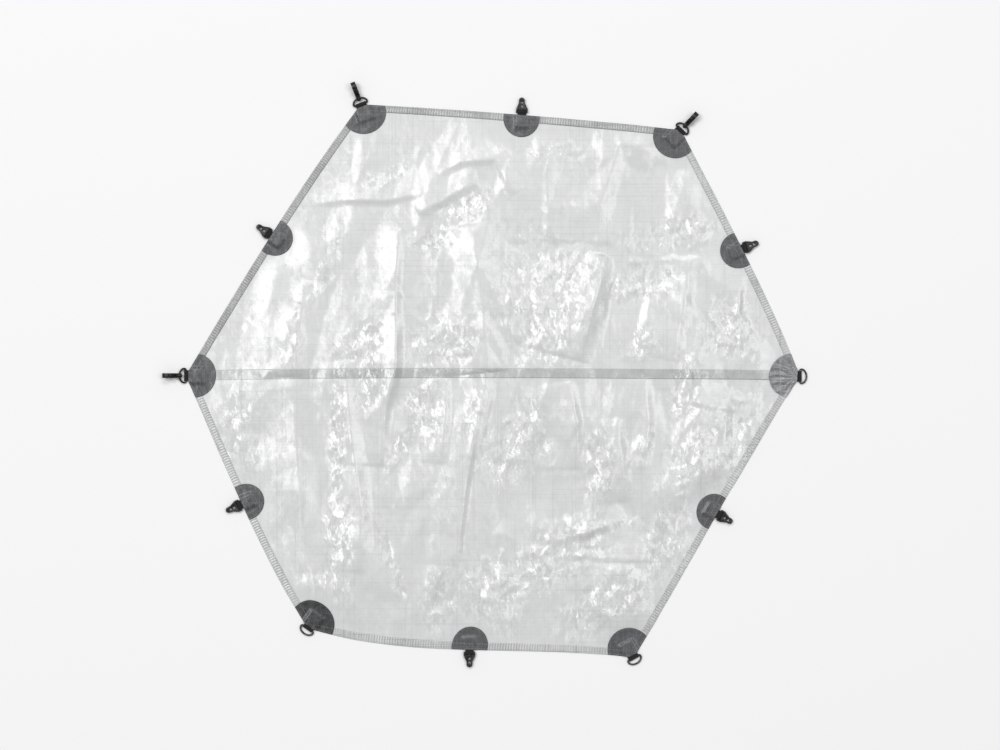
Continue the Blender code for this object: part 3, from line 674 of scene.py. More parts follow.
@dataclass
class LaidSheet:
    """The whole sheet's flat cut and how it is laid."""

    relief: LaidRelief
    corners: dict[str, Vector]
    headings: dict[str, Vector]
    seam_bow: float = 0.0055
    seam_reach: float = 0.30        # how far from the seam its bow is felt
    bow_reach: float = 0.26         # how far in from an edge its bow is felt
    tip_setback: float = 0.0045     # bar to the squared tip
    film: float = 0.00014           # thickness of one layer, as shown
    panel_level: float = 0.00055    # layers' middles above the relief
    tape_level: float = 0.00115
    hem_level: float = 0.00125
    hem_under: float = 0.00018
    patch_level: float = 0.00190
    tail_level: float = 0.00385     # a patch where it lies over a webbing tail

    def chord(self, edge: LaidEdge) -> tuple[Vector, Vector, Vector, float]:
        """An edge's start, direction, inward normal and length in the flat cut."""
        start, end = self.corners[edge.start], self.corners[edge.end]
        along = (end - start).normalized()
        return start, along, Vector((-along.y, along.x)), (end - start).length

    def edge_distance(self, flat: np.ndarray) -> np.ndarray:
        """Distance from each flat place to the nearest edge."""
        nearest = np.full(len(flat), 1e9)
        for edge in EDGES:
            start, _, inward, _ = self.chord(edge)
            nearest = np.minimum(nearest, (flat - np.array(start)) @ np.array(inward))
        return nearest

    def lay_flat(self, flat: np.ndarray) -> np.ndarray:
        """Move flat places to where the bowed, laid sheet has them."""
        laid = flat.copy()
        for edge in EDGES:
            start, along, inward, length = self.chord(edge)
            offset = flat - np.array(start)
            share = np.clip((offset @ np.array(along)) / length, 0.0, 1.0)
            depth = np.clip((offset @ np.array(inward)) / self.bow_reach, 0.0, 1.0)
            bulge = 4 * share * (1 - share) * (edge.bow + edge.skew * (2 * share - 1))
            laid -= (bulge * (1 - depth) ** 2)[:, None] * np.array(inward)
        left, right = self.corners["left"], self.corners["right"]
        share = np.clip((flat[:, 0] - left.x) / (right.x - left.x), 0.0, 1.0)
        line = left.y + (right.y - left.y) * share
        depth = np.clip(np.abs(flat[:, 1] - line) / self.seam_reach, 0.0, 1.0)
        laid[:, 1] += self.seam_bow * 4 * share * (1 - share) * (1 - depth) ** 2
        return laid

    def tail_bump(self, laid: np.ndarray) -> np.ndarray:
        """How fully each laid place lies over a webbing tail, from 0 to 1."""
        cover = np.zeros(len(laid))
        for fitting in self.relief.fittings:
            offset = laid - np.array(fitting.bar)
            along = -(offset @ np.array(fitting.heading))
            across = np.abs(offset @ np.array((-fitting.heading.y, fitting.heading.x)))
            side = soft_step(across, fitting.strap_width / 2 + 0.0085, fitting.strap_width / 2 + 0.0008)
            cover = np.maximum(cover, side * soft_step(along, fitting.tail + 0.0085, fitting.tail + 0.0010))
        return cover

    def place(self, work: bmesh.types.BMesh, level: float | Callable) -> bmesh.types.BMesh:
        """Lay a flat piece: bow it, lift it onto the relief and note its crumple strength.

        Args:
            work: Flat bmesh, whose z is kept as a height above the level.
            level: Layer height, or a function of the laid places that gives it.

        Returns:
            The same bmesh.
        """
        points = positions(work)
        laid = self.lay_flat(points[:, :2])
        heights, strength = self.relief.measure(laid, self.edge_distance(points[:, :2]))
        heights += points[:, 2] + (level(laid) if callable(level) else level)
        layer = work.verts.layers.float.get("crumple") or work.verts.layers.float.new("crumple")
        for vert, (x, y), z, fine in zip(work.verts, laid, heights, strength):
            vert.co = (x, y, z)
            vert[layer] = fine
        return work

    def trim(self, work: bmesh.types.BMesh, inset: float) -> None:
        """Trim a flat piece to the sheet's outline.

        Args:
            work: Flat bmesh.
            inset: How far inside the cut it stops.
        """
        for edge in EDGES:
            start, _, inward, _ = self.chord(edge)
            cut_away(work, start + inward * inset, -inward)
        for corner, heading in self.headings.items():
            cut_away(work, self.corners[corner] - heading * (self.tip_setback + inset), heading)

    def flat_area(self, work: bmesh.types.BMesh) -> float:
        """Area of a flat bmesh in square metres."""
        return sum(face.calc_area() for face in work.faces)


def thicken(piece: bpy.types.Object, thickness: float) -> None:
    """Give a film piece its real wall, half on each side."""
    wall = piece.modifiers.new("film thickness", "SOLIDIFY")
    wall.thickness = thickness
    wall.offset = 0.0


def seat(piece: bpy.types.Object, body: str, slot: str, *nodes: str) -> bpy.types.Object:
    """Ride a finished piece on its body and stand it in for CAD nodes."""
    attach(piece, body)
    if nodes:
        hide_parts(*nodes)
    log.info("%s: %d faces on %s", piece.name, len(piece.data.polygons), body)
    return piece


# ---------------------------------------------------------------- soft pieces
@dataclass
class Panels:
    """The two film panels that meet at the centre seam."""

    sheet: LaidSheet
    finish: FilmLaminate
    pitch: float = 0.00285
    edge_inset: float = 0.0004

    def build(self) -> list[bpy.types.Object]:
        """Cut, lay and dress both panels."""
        material = self.finish.build()
        left, right = self.sheet.corners["left"], self.sheet.corners["right"]
        seam = (right - left).normalized()
        up = Vector((-seam.y, seam.x))
        xs = [corner.x for corner in self.sheet.corners.values()]
        ys = [corner.y for corner in self.sheet.corners.values()]
        made = []
        for name, away, low, high in (
                ("upper_panel", -up, min(left.y, right.y) - 0.004, max(ys)),
                ("lower_panel", up, min(ys), max(left.y, right.y) + 0.004)):
            work = flat_cloth((min(xs), low), (max(xs), high), self.pitch)
            cut_away(work, left, away)
            self.sheet.trim(work, self.edge_inset)
            area = self.sheet.flat_area(work)
            spans = positions(work)
            size = spans.max(0) - spans.min(0)
            self.sheet.place(work, self.sheet.panel_level)
            piece = object_from(work, f"{name}_film", material, 80.0)
            thicken(piece, self.sheet.film)
            seat(piece, "sheet", "laminate", name)
            piece["flat"] = [float(size[0]), float(size[1]), area]
            made.append(piece)
        return made


class HemTone(Enum):
    """How a hem reads: one copy of its laminate darker with painted shade, and one paler with painted light.
    """

    DENSE = ("hemmed_film_laminate_dense", "#bec0c0", "#8a8c8c")
    PALE = ("hemmed_film_laminate_pale", "#e0e2e2", "#a2a4a4")


@dataclass
class Hems:
    """A folded hem round each edge, puckered by its two rows of stitches."""

    sheet: LaidSheet
    # edges whose hems take the darker copy with painted shade; the others take the paler one with painted
    # light
    dense: tuple[str, ...] = ("top", "upper_left")
    width: float = 0.0120
    pitch: float = 0.00080
    pucker: float = 0.00034
    pucker_pitch: float = 0.0046
    fold_steps: int = 4

    def start_at(self, edge: LaidEdge, corner: str, depth: float, sign: int) -> float:
        """How far along the edge from a corner the hem begins at a depth, by mitre or squared tip."""
        _, along, inward, _ = self.sheet.chord(edge)
        other = next(e for e in EDGES if e is not edge and corner in (e.start, e.end))
        _, other_along, _, _ = self.sheet.chord(other)
        mine = along * sign
        theirs = other_along * (1 if other.start == corner else -1)
        mitre = depth / math.tan(mine.angle(theirs) / 2)
        back = -self.sheet.headings[corner]
        squared = (self.sheet.tip_setback - depth * inward.dot(back)) / mine.dot(back)
        return max(mitre, squared) + 0.0001

    def profile(self) -> list[tuple[float, float]]:
        """Depth from the edge and height above the relief, from the hem's top inner rim round its fold."""
        sheet = self.sheet
        steps = 7
        top = [(self.width * (1 - n / steps), sheet.hem_level) for n in range(steps)]
        middle, radius = (sheet.hem_level + sheet.hem_under) / 2, (sheet.hem_level - sheet.hem_under) / 2
        turn = [(0.0006 - (radius + 0.0002) * math.sin(math.pi * n / self.fold_steps),
                 middle + radius * math.cos(math.pi * n / self.fold_steps))
                for n in range(self.fold_steps + 1)]
        under = [(self.width * n / steps, sheet.hem_under) for n in range(1, steps)]
        return top + turn + under

    def build_one(self, edge: LaidEdge, material: bpy.types.Material) -> bpy.types.Object:
        """Cut, fold and lay the hem of one edge."""
        start, along, inward, length = self.sheet.chord(edge)
        profile = self.profile()
        count = round(length / self.pitch)
        work = bmesh.new()
        bmesh.ops.create_grid(work, x_segments=count, y_segments=len(profile) - 1, size=0.5)
        chance = random.Random(edge.name)
        wander = [chance.uniform(-1.0, 1.0) for _ in range(9)]
        ends = [(self.start_at(edge, edge.start, max(d, 0.0), 1),
                 length - self.start_at(edge, edge.end, max(d, 0.0), -1)) for d, _ in profile]
        pleat = work.verts.layers.float.new("pleat")
        for vert in work.verts:
            row = round((vert.co.y + 0.5) * (len(profile) - 1))
            depth, level = profile[row]
            first, last = ends[row]
            run = first + (vert.co.x + 0.5) * (last - first)
            phase = run / self.pucker_pitch * 2 * math.pi
            phase += 2.2 * sum(a * math.sin(run / (0.02 + 0.013 * n)) for n, a in enumerate(wander)) / 3
            crest = math.cos(phase + 0.35 * math.sin(depth / 0.003))
            # painted shade in each pucker's valley
            vert[pleat] = max(0.0, -crest) ** 2 * (0.65 + 0.35 * math.sin(run / 0.031 + wander[1] * 3))
            lift = crest * self.pucker
            lift *= 0.75 + 0.45 * math.sin(run / 0.017 + wander[0] * 3)
            flat = start + along * run + inward * depth
            near = min(abs(run), abs(length - run), abs(run - edge.station * length))
            lift *= min(1.0, max(0.25, (near - 0.02) / 0.02))
            vert.co = (flat.x, flat.y, level + lift * (1.0 if level > self.sheet.panel_level else 0.3))
        bmesh.ops.recalc_face_normals(work, faces=work.faces)
        self.sheet.place(work, 0.0)
        piece = object_from(work, f"hem_{edge.name}_fold", material, 80.0)
        thicken(piece, self.sheet.film)
        seat(piece, "sheet", "hem", f"hem_{edge.name}")
        piece["flat"] = [2 * self.width, length, 2 * self.width * (length - 2 * self.width)]
        return piece

    def build(self) -> list[bpy.types.Object]:
        """Build all six hems."""
        finishes = {tone: FilmLaminate(*tone.value, gloss=0.6, body_ior=1.5).build() for tone in HemTone}
        return [self.build_one(edge, finishes[HemTone.DENSE if edge.name in self.dense else HemTone.PALE])
                for edge in EDGES]


@dataclass
class SeamTape:
    """The bonded tape over the centre seam."""

    sheet: LaidSheet
    finish: FilmLaminate
    width: float = 0.0170
    pitch: float = 0.0017
    end_inset: float = 0.0100

    def build(self) -> bpy.types.Object:
        """Cut and lay the tape."""
        left, right = self.sheet.corners["left"], self.sheet.corners["right"]
        along = (right - left).normalized()
        up = Vector((-along.y, along.x))
        low = min(left.y, right.y) - self.width
        high = max(left.y, right.y) + self.width
        work = flat_cloth((left.x, low), (right.x, high), self.pitch)
        cut_away(work, left + up * self.width / 2, up)
        cut_away(work, left - up * self.width / 2, -up)
        self.sheet.trim(work, self.end_inset)
        area = self.sheet.flat_area(work)
        self.sheet.place(work, self.sheet.tape_level)
        piece = object_from(work, "centre_seam_tape_film", self.finish.build(), 80.0)
        thicken(piece, self.sheet.film)
        seat(piece, "sheet", "seam_tape", "centre_seam_tape")
        piece["flat"] = [self.width, (right - left).length - 2 * self.end_inset, area]
        return piece


class PatchTone(Enum):
    """How the reinforcement laminate reads: plain dark, darker, or paler."""

    PLAIN = ("#2c2e30", "#4d4f52")
    DEEP = ("#17191a", "#232527")
    PALE = ("#4c4e50", "#8d8f91")


@dataclass
class Patches:
    """The round reinforcement patches at the corners and the edge fittings."""

    sheet: LaidSheet
    corner_radius: float = 0.0380
    corner_inset: float = 0.0160
    edge_radius: float = 0.0315
    edge_inset: float = 0.0060
    pitch: float = 0.00125
    sides: int = 64
    gathered: str = "right"         # the corner whose patch is gathered like a fan
    gather: float = 0.0017

    def centres(self) -> list[tuple[str, Vector, float]]:
        """Each patch's CAD node, flat centre and radius."""
        found = []
        for corner, heading in self.sheet.headings.items():
            found.append((f"patch_{corner}_corner", self.sheet.corners[corner] - heading * self.corner_inset,
                          self.corner_radius))
        for edge in EDGES:
            start, along, inward, length = self.sheet.chord(edge)
            centre = start + along * (edge.station * length) + inward * self.edge_inset
            found.append((f"patch_{edge.name}_edge", centre, self.edge_radius))
        return found

    def level(self, laid: np.ndarray) -> np.ndarray:
        """Height of a patch above the relief: flat on the film, raised over the webbing's tail."""
        sheet = self.sheet
        return sheet.patch_level + (sheet.tail_level - sheet.patch_level) * sheet.tail_bump(laid)

    def gathers(self, flat: np.ndarray) -> np.ndarray:
        """Height of the gathers that fan out of the gathered corner, and 0 off its patch.

        Args:
            flat: Flat x and y, one row each.

        Returns:
            Heights in metres.
        """
        corner, heading = self.sheet.corners[self.gathered], self.sheet.headings[self.gathered]
        centre = np.array(corner - heading * self.corner_inset)
        offset = flat - np.array(corner - heading * self.sheet.tip_setback)
        reach = np.hypot(offset[:, 0], offset[:, 1])
        turn = np.arctan2(offset[:, 1], -offset[:, 0])
        crest = 1 - np.abs(np.sin(turn * 8.5 + 0.5 * np.sin(reach / 0.007 + turn * 3)))
        on_patch = np.hypot(*(flat - centre).T) < self.corner_radius + 0.0005
        return np.where(on_patch, self.gather * crest * np.minimum(1.0, reach / 0.020), 0.0)

    @staticmethod
    def wrinkle(work: bmesh.types.BMesh, centre: Vector, amount: float, seed: int) -> None:
        """Small sewn-in wrinkles that run across the patch."""
        chance = random.Random(seed)
        waves = [(ray(chance.uniform(0, 360)), chance.uniform(0.0035, 0.008), chance.uniform(0, 6.28))
                 for _ in range(7)]
        for vert in work.verts:
            offset = Vector((vert.co.x, vert.co.y)) - centre
            total = sum(1 - abs(math.sin(
                offset.dot(way) / size + turn + 2 * offset.dot(Vector((way.y, -way.x))) / 0.03))
                for way, size, turn in waves)
            vert.co.z += amount * (total - 2.5) / 2

    def build(self) -> list[bpy.types.Object]:
        """Cut, wrinkle and lay all twelve patches."""
        tones = {tone: FilmLaminate(
            f"dark_reinforcement_laminate_{tone.name.lower()}", *tone.value, roughness=0.5,
            gloss=0.6 if tone is PatchTone.PALE else 0.35, body_ior=1.5, fibre_show=0.28,
            crease_highlight_show=0.16).build() for tone in PatchTone}
        special = {"patch_bottom_left_corner": PatchTone.DEEP, "patch_right_corner": PatchTone.PALE}
        made = []
        for number, (name, centre, radius) in enumerate(self.centres()):
            tone = special.get(name, PatchTone.PLAIN)
            reach = Vector((radius, radius))
            work = flat_cloth(tuple(centre - reach), tuple(centre + reach), self.pitch)
            for side in range(self.sides):
                outward = ray(360 * side / self.sides)
                cut_away(work, centre + outward * radius, outward)
            self.sheet.trim(work, 0.0001)
            area = self.sheet.flat_area(work)
            spans = positions(work)
            size = spans.max(0) - spans.min(0)
            self.wrinkle(work, centre, 0.00020 if tone is PatchTone.PALE else 0.00015, number)
            for vert, lift in zip(work.verts, self.gathers(positions(work)[:, :2])):
                vert.co.z += lift
            self.sheet.place(work, self.level)
            layer = work.verts.layers.float["crumple"]
            for vert in work.verts:
                vert[layer] = 0.75 if tone is PatchTone.PALE else 0.34
            piece = object_from(work, f"{name}_laminate", tones[tone], 80.0)
            thicken(piece, 2 * self.sheet.film)
            seat(piece, "sheet", "patch", name)
            piece["flat"] = [float(size[0]), float(size[1]), area]
            made.append(piece)
        return made


@dataclass
class Stitching:
    """Every row of thread: two along each hem, one round each patch, and a box over each tail."""

    sheet: LaidSheet
    patches: Patches
    hem_rows: tuple[float, ...] = (0.0022, 0.0100)
    stitch_pitch: float = 0.0032
    stitch_length: float = 0.0026
    thread: float = 0.00045
    patch_row_inset: float = 0.0026
    box_inset: float = 0.0022

    def top_level(self, laid: np.ndarray, on_patch: np.ndarray) -> np.ndarray:
        """Height above the relief of the topmost layer at laid places."""
        return np.where(on_patch, self.patches.level(laid) + 0.00018, self.sheet.hem_level + 0.00030)

    def covered(self, flat: np.ndarray) -> np.ndarray:
        """Whether each flat place lies under a patch."""
        under = np.zeros(len(flat), bool)
        for _, centre, radius in self.patches.centres():
            under |= np.hypot(flat[:, 0] - centre.x, flat[:, 1] - centre.y) < radius
        return under

    def sew(self, work: bmesh.types.BMesh, flat: np.ndarray, laid: np.ndarray | None = None) -> None:
        """Add a stitch between each two neighbouring places of a row.

        Args:
            work: Bmesh that takes the stitches.
            flat: Flat places, used for the layer under them.
            laid: Laid places, where they differ from the flat map.
        """
        if laid is None:
            laid = self.sheet.lay_flat(flat)
        heights, _ = self.sheet.relief.measure(laid, self.sheet.edge_distance(flat))
        heights = heights + self.top_level(laid, self.covered(flat)) + self.patches.gathers(flat)
        for (x0, y0), (x1, y1), z0, z1 in zip(laid, laid[1:], heights, heights[1:]):
            way = Vector((x1 - x0, y1 - y0, z1 - z0))
            if way.length < 1e-5:
                continue
            turn = way.to_track_quat("X", "Z").to_matrix().to_4x4()
            size = Matrix.Diagonal((min(self.stitch_length, way.length * 0.85) / 2, self.thread / 2,
                                    self.thread / 2, 1.0))
            middle = Matrix.Translation(((x0 + x1) / 2, (y0 + y1) / 2, (z0 + z1) / 2))
            bmesh.ops.create_icosphere(work, subdivisions=1, radius=1.0, matrix=middle @ turn @ size)

    def spaced(self, points: Sequence[Vector]) -> np.ndarray:
        """Places a stitch apart along a line through points."""
        found = [points[0]]
        for a, b in zip(points, points[1:]):
            count = max(1, round((b - a).length / self.stitch_pitch))
            found += [a.lerp(b, step / count) for step in range(1, count + 1)]
        return np.array([tuple(point) for point in found])

    def hem_row(self, edge: LaidEdge, depth: float) -> np.ndarray:
        """Flat places of a row of stitches along a hem."""
        start, along, inward, length = self.sheet.chord(edge)
        ends = (depth + 0.004, length - depth - 0.004)
        return self.spaced([start + along * end + inward * depth for end in ends])

    def patch_row(self, centre: Vector, radius: float) -> list[np.ndarray]:
        """Flat places of the stitches just inside a patch's round rim."""
        inner = radius - self.patch_row_inset
        count = round(2 * math.pi * inner / self.stitch_pitch)
        circle = [centre + ray(360 * step / count) * inner for step in range(count + 1)]
        depth = self.sheet.edge_distance(np.array([tuple(point) for point in circle]))
        runs, run = [], []
        for point, inside in zip(circle, depth > 0.0025):
            if inside:
                run.append(tuple(point))
            elif run:
                runs.append(np.array(run))
                run = []
        if run:
            runs.append(np.array(run))
        return runs

    def box(self, fitting: Fitting) -> np.ndarray:
        """Laid places of a box with a cross, sewn over a webbing tail."""
        side = Vector((-fitting.heading.y, fitting.heading.x)) * (fitting.strap_width / 2 - self.box_inset)
        near = fitting.bar - fitting.heading * 0.0085
        far = fitting.bar - fitting.heading * (fitting.tail - self.box_inset)
        a, b, c, d = near - side, near + side, far + side, far - side
        return self.spaced([a, b, c, d, a, c, d, b])

    def build(self) -> list[bpy.types.Object]:
        """Sew everything."""
        pale = SewingThread("grey_bonded_polyester_thread", "#c4c6c8").build()
        smoke = SewingThread("smoke_bonded_polyester_thread", "#8b8d8f").build()
        made = []
        for edge in EDGES:
            work = bmesh.new()
            for depth in self.hem_rows:
                self.sew(work, self.hem_row(edge, depth))
            made.append(seat(object_from(work, f"stitching_hem_{edge.name}", pale, 80.0), "sheet", "hem"))
        work = bmesh.new()
        for _, centre, radius in self.patches.centres():
            for run in self.patch_row(centre, radius):
                self.sew(work, run)
        made.append(seat(object_from(work, "stitching_patch_rims", smoke, 80.0), "sheet", "patch"))
        work = bmesh.new()
        for fitting in self.sheet.relief.fittings:
            places = self.box(fitting)
            self.sew(work, places, places)
        made.append(seat(object_from(work, "stitching_tail_boxes", smoke, 80.0), "sheet", "webbing"))
        return made


# ---------------------------------------------------------------- fittings
@dataclass
class RoundedCopies:
    """CAD solids with their rims rounded as the moulding or the weaving leaves them."""

    rim: float = 0.00035
    segments: int = 2
    sharp: float = 32.0

    def copy(self, node: str, name: str, material: bpy.types.Material,
             rim: float | None = None) -> bpy.types.Object:
        """Merge a copy of a CAD node's mesh and round its sharp rims.

        Args:
            node: CAD node.
            name: Name of the new piece.
            material: Its material.
            rim: Radius of the rounded rims.

        Returns:
            The new piece.
        """
        work = bmesh.new()
        work.from_mesh(frame["nodes"][node].data)
        bmesh.ops.remove_doubles(work, verts=work.verts, dist=2e-6)
        bmesh.ops.dissolve_limit(work, angle_limit=math.radians(1.0), verts=work.verts, edges=work.edges)
        rims = [edge for edge in work.edges
                if edge.is_manifold and edge.calc_face_angle() > math.radians(self.sharp)]
        bmesh.ops.bevel(work, geom=rims, offset=rim or self.rim, offset_type="OFFSET",
                        segments=self.segments, profile=0.5, affect="EDGES", clamp_overlap=True, material=-1)
        return object_from(work, name, material, 38.0)


@dataclass
class WebbingLoops:
    """The webbing loops that hold the fittings' bars."""

    copies: RoundedCopies
    fittings: tuple[Fitting, ...]

    def build(self) -> None:
        """Round, map and dress every loop."""
        black = WovenTape("black_woven_polyester_webbing", "#0a0a0b").build()
        for fitting in self.fittings:
            node = f"webbing_{fitting.name}"
            piece = self.copies.copy(node, f"{node}_strap", black, 0.00028)
            self.map_strap(piece.data, fitting)
            seat(piece, "sheet", "webbing", node)

    @staticmethod
    def map_strap(mesh: bpy.types.Mesh, fitting: Fitting) -> None:
        """Give a strap a UV map in metres that runs along and across it."""
        layer = mesh.uv_layers.new(name="strap")
        across = Vector((-fitting.heading.y, fitting.heading.x))
        for loop in mesh.loops:
            point = mesh.vertices[loop.vertex_index].co
            offset = Vector((point.x, point.y)) - fitting.bar
            layer.data[loop.index].uv = (offset.dot(fitting.heading) - point.z, offset.dot(across))


@dataclass
class Hardware:
    """D-rings, snap hooks and cord tensioners."""

    copies: RoundedCopies

    def build(self) -> None:
        """Dress every rigid fitting."""
        acetal = MouldedPlastic("black_moulded_acetal").build()
        gate = MouldedPlastic("black_moulded_acetal_gate", "#0c0c0e", "#18181a", 0.32).build()
        steel = CoatedSteel("black_coated_steel_wire").build()
        plans = (("d_ring_", steel, "ring"), ("hook_frame_", acetal, "hook"),
                 ("swivel_hook_", acetal, "hook"), ("spring_gate_", gate, "gate"),
                 ("cord_tensioner_", acetal, "tensioner"))
        for node, thing in frame["nodes"].items():
            for start, material, slot in plans:
                if node.startswith(start):
                    piece = self.copies.copy(node, f"{node}_finish", material)
                    seat(piece, thing["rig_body"], slot, node)


# ---------------------------------------------------------------- studio
@dataclass
class Studio:
    """Pale floor, soft boxes and the overhead camera."""

    frame_width: float = 1.75       # what the camera sees across the floor
    centre: Point = (0.00875, 0.00525)
    lens: float = 100.0
    sensor: float = 36.0
    world: float = 0.34

    def soft_box(self, name: str, place: tuple[float, float, float], size: Point, power: float) -> None:
        """Hang a rectangular soft box that faces the sheet."""
        lamp = bpy.data.lights.new(name, "AREA")
        lamp.shape = "RECTANGLE"
        lamp.size, lamp.size_y = size
        lamp.energy = power
        holder = bpy.data.objects.new(name, lamp)
        holder.location = place
        holder.rotation_euler = (-Vector(place)).to_track_quat("-Z", "Y").to_euler()
        bpy.context.scene.collection.objects.link(holder)

    def build(self) -> None:
        """Set the floor, the lights, the world and the camera."""
        scene = bpy.context.scene
        work = flat_cloth((-5.0, -5.0), (5.0, 5.0), 2.5)
        floor = object_from(work, "floor", StudioPaper().build())
        for vert in floor.data.vertices:
            vert.co.z = -0.0002
        self.soft_box("soft_box_left", (-4.3, 2.4, 10.4), (4.6, 4.6), 545.0)
        self.soft_box("soft_box_right", (4.8, 0.8, 10.1), (3.8, 4.4), 225.0)
        self.soft_box("soft_box_top", (0.6, 5.9, 9.7), (4.6, 2.4), 255.0)
        world = bpy.data.worlds.new("studio_fill")
        world.use_nodes = True
        sky = world.node_tree.nodes["Background"]
        sky.inputs["Color"].default_value = (1.0, 1.0, 1.0, 1.0)
        sky.inputs["Strength"].default_value = self.world
        scene.world = world
        scene.view_settings.view_transform = "Standard"
        camera = bpy.data.cameras.new("overhead_camera")
        camera.lens, camera.sensor_width = self.lens, self.sensor
        camera.clip_end = 50.0
        holder = bpy.data.objects.new("overhead_camera", camera)
        distance = self.frame_width / 2 / (self.sensor / 2 / self.lens)
        holder.location = (self.centre[0], self.centre[1], distance)
        scene.collection.objects.link(holder)
        scene.camera = holder


# ---------------------------------------------------------------- this sheet's folds and crumples
FOLDS = (
    # long packing folds of the upper half: each crest has a wide side towards -X and a short fall towards +X
    Fold(((-0.168, 0.262), (-0.172, 0.180), (-0.174, 0.110)), 0.0036, 0.012, 0.040),
    Fold(((-0.173, 0.150), (-0.174, 0.014), (-0.192, -0.056), (-0.200, -0.155)), 0.0074, 0.016, 0.080),
    Fold(((-0.040, 0.270), (-0.022, 0.120), (-0.012, 0.010)), 0.0068, 0.042, 0.095),
    Fold(((0.196, 0.215), (0.170, 0.120), (0.146, 0.030)), 0.0100, 0.026, 0.150),
    Fold(((-0.330, 0.170), (-0.345, 0.080), (-0.352, 0.000)), 0.0036, 0.040, 0.045),
    Fold(((0.345, 0.215), (0.330, 0.120), (0.310, 0.030)), 0.0048, 0.020, 0.090),
    Fold(((0.440, 0.150), (0.478, 0.080), (0.490, 0.030)), 0.0050, 0.020, 0.080),
    # and of the lower half
    Fold(((-0.352, 0.000), (-0.350, -0.091), (-0.336, -0.266), (-0.330, -0.340)), 0.0052, 0.034, 0.050),
    Fold(((-0.262, 0.030), (-0.252, -0.100), (-0.232, -0.240), (-0.240, -0.340)), 0.0078, 0.024, 0.050),
    Fold(((-0.012, 0.010), (-0.036, -0.100), (-0.050, -0.178), (-0.068, -0.330)), 0.0046, 0.010, 0.060),
    Fold(((-0.082, 0.000), (-0.087, -0.080), (-0.095, -0.150)), 0.0044, 0.012, 0.055),
    Fold(((-0.004, -0.010), (-0.018, -0.080), (-0.034, -0.143)), 0.0026, 0.010, 0.020),
    Fold(((0.130, -0.005), (0.143, -0.080), (0.144, -0.160)), 0.0054, 0.013, 0.080),
    Fold(((0.214, -0.070), (0.222, -0.150), (0.230, -0.215)), 0.0050, 0.015, 0.060),
    Fold(((0.466, -0.040), (0.410, -0.190), (0.330, -0.320)), 0.0130, 0.034, 0.125),
    Fold(((0.262, 0.000), (0.268, -0.080), (0.262, -0.160)), 0.0040, 0.014, 0.035),
    Fold(((-0.100, -0.330), (-0.110, -0.400), (-0.100, -0.455)), 0.0046, 0.014, 0.050),
    Fold(((0.012, -0.330), (0.006, -0.390), (0.016, -0.445)), 0.0050, 0.016, 0.050),
    Fold(((0.236, -0.330), (0.216, -0.390), (0.200, -0.440)), 0.0046, 0.020, 0.080),
    Fold(((0.325, -0.215), (0.310, -0.290), (0.290, -0.350)), 0.0040, 0.014, 0.050),
    # folds that cross the sheet
    Fold(((-0.360, 0.300), (-0.254, 0.312), (-0.190, 0.310), (-0.125, 0.324)), 0.0036, 0.050, 0.010),
    Fold(((-0.100, 0.356), (-0.060, 0.378), (0.000, 0.383), (0.034, 0.322)), 0.0036, 0.040, 0.012),
    Fold(((-0.135, 0.288), (-0.090, 0.312), (-0.044, 0.338), (-0.028, 0.342)), 0.0044, 0.055, 0.014),
    Fold(((0.018, 0.233), (0.090, 0.232), (0.170, 0.228), (0.200, 0.230)), -0.0034, 0.012, 0.080),
    Fold(((0.190, 0.232), (0.240, 0.186), (0.300, 0.176), (0.330, 0.184)), -0.0030, 0.016, 0.045),
    Fold(((0.225, 0.215), (0.300, 0.222), (0.400, 0.214)), -0.0028, 0.050, 0.014),
    Fold(((0.090, -0.288), (0.157, -0.272), (0.230, -0.246)), 0.0042, 0.040, 0.012),
    Fold(((0.130, -0.310), (0.200, -0.316), (0.290, -0.318)), 0.0022, 0.030, 0.008),
    Fold(((0.320, -0.038), (0.380, -0.050), (0.450, -0.060)), 0.0020, 0.030, 0.007),
    Fold(((-0.400, -0.300), (-0.330, -0.385), (-0.215, -0.440)), 0.0050, 0.060, 0.045),
)

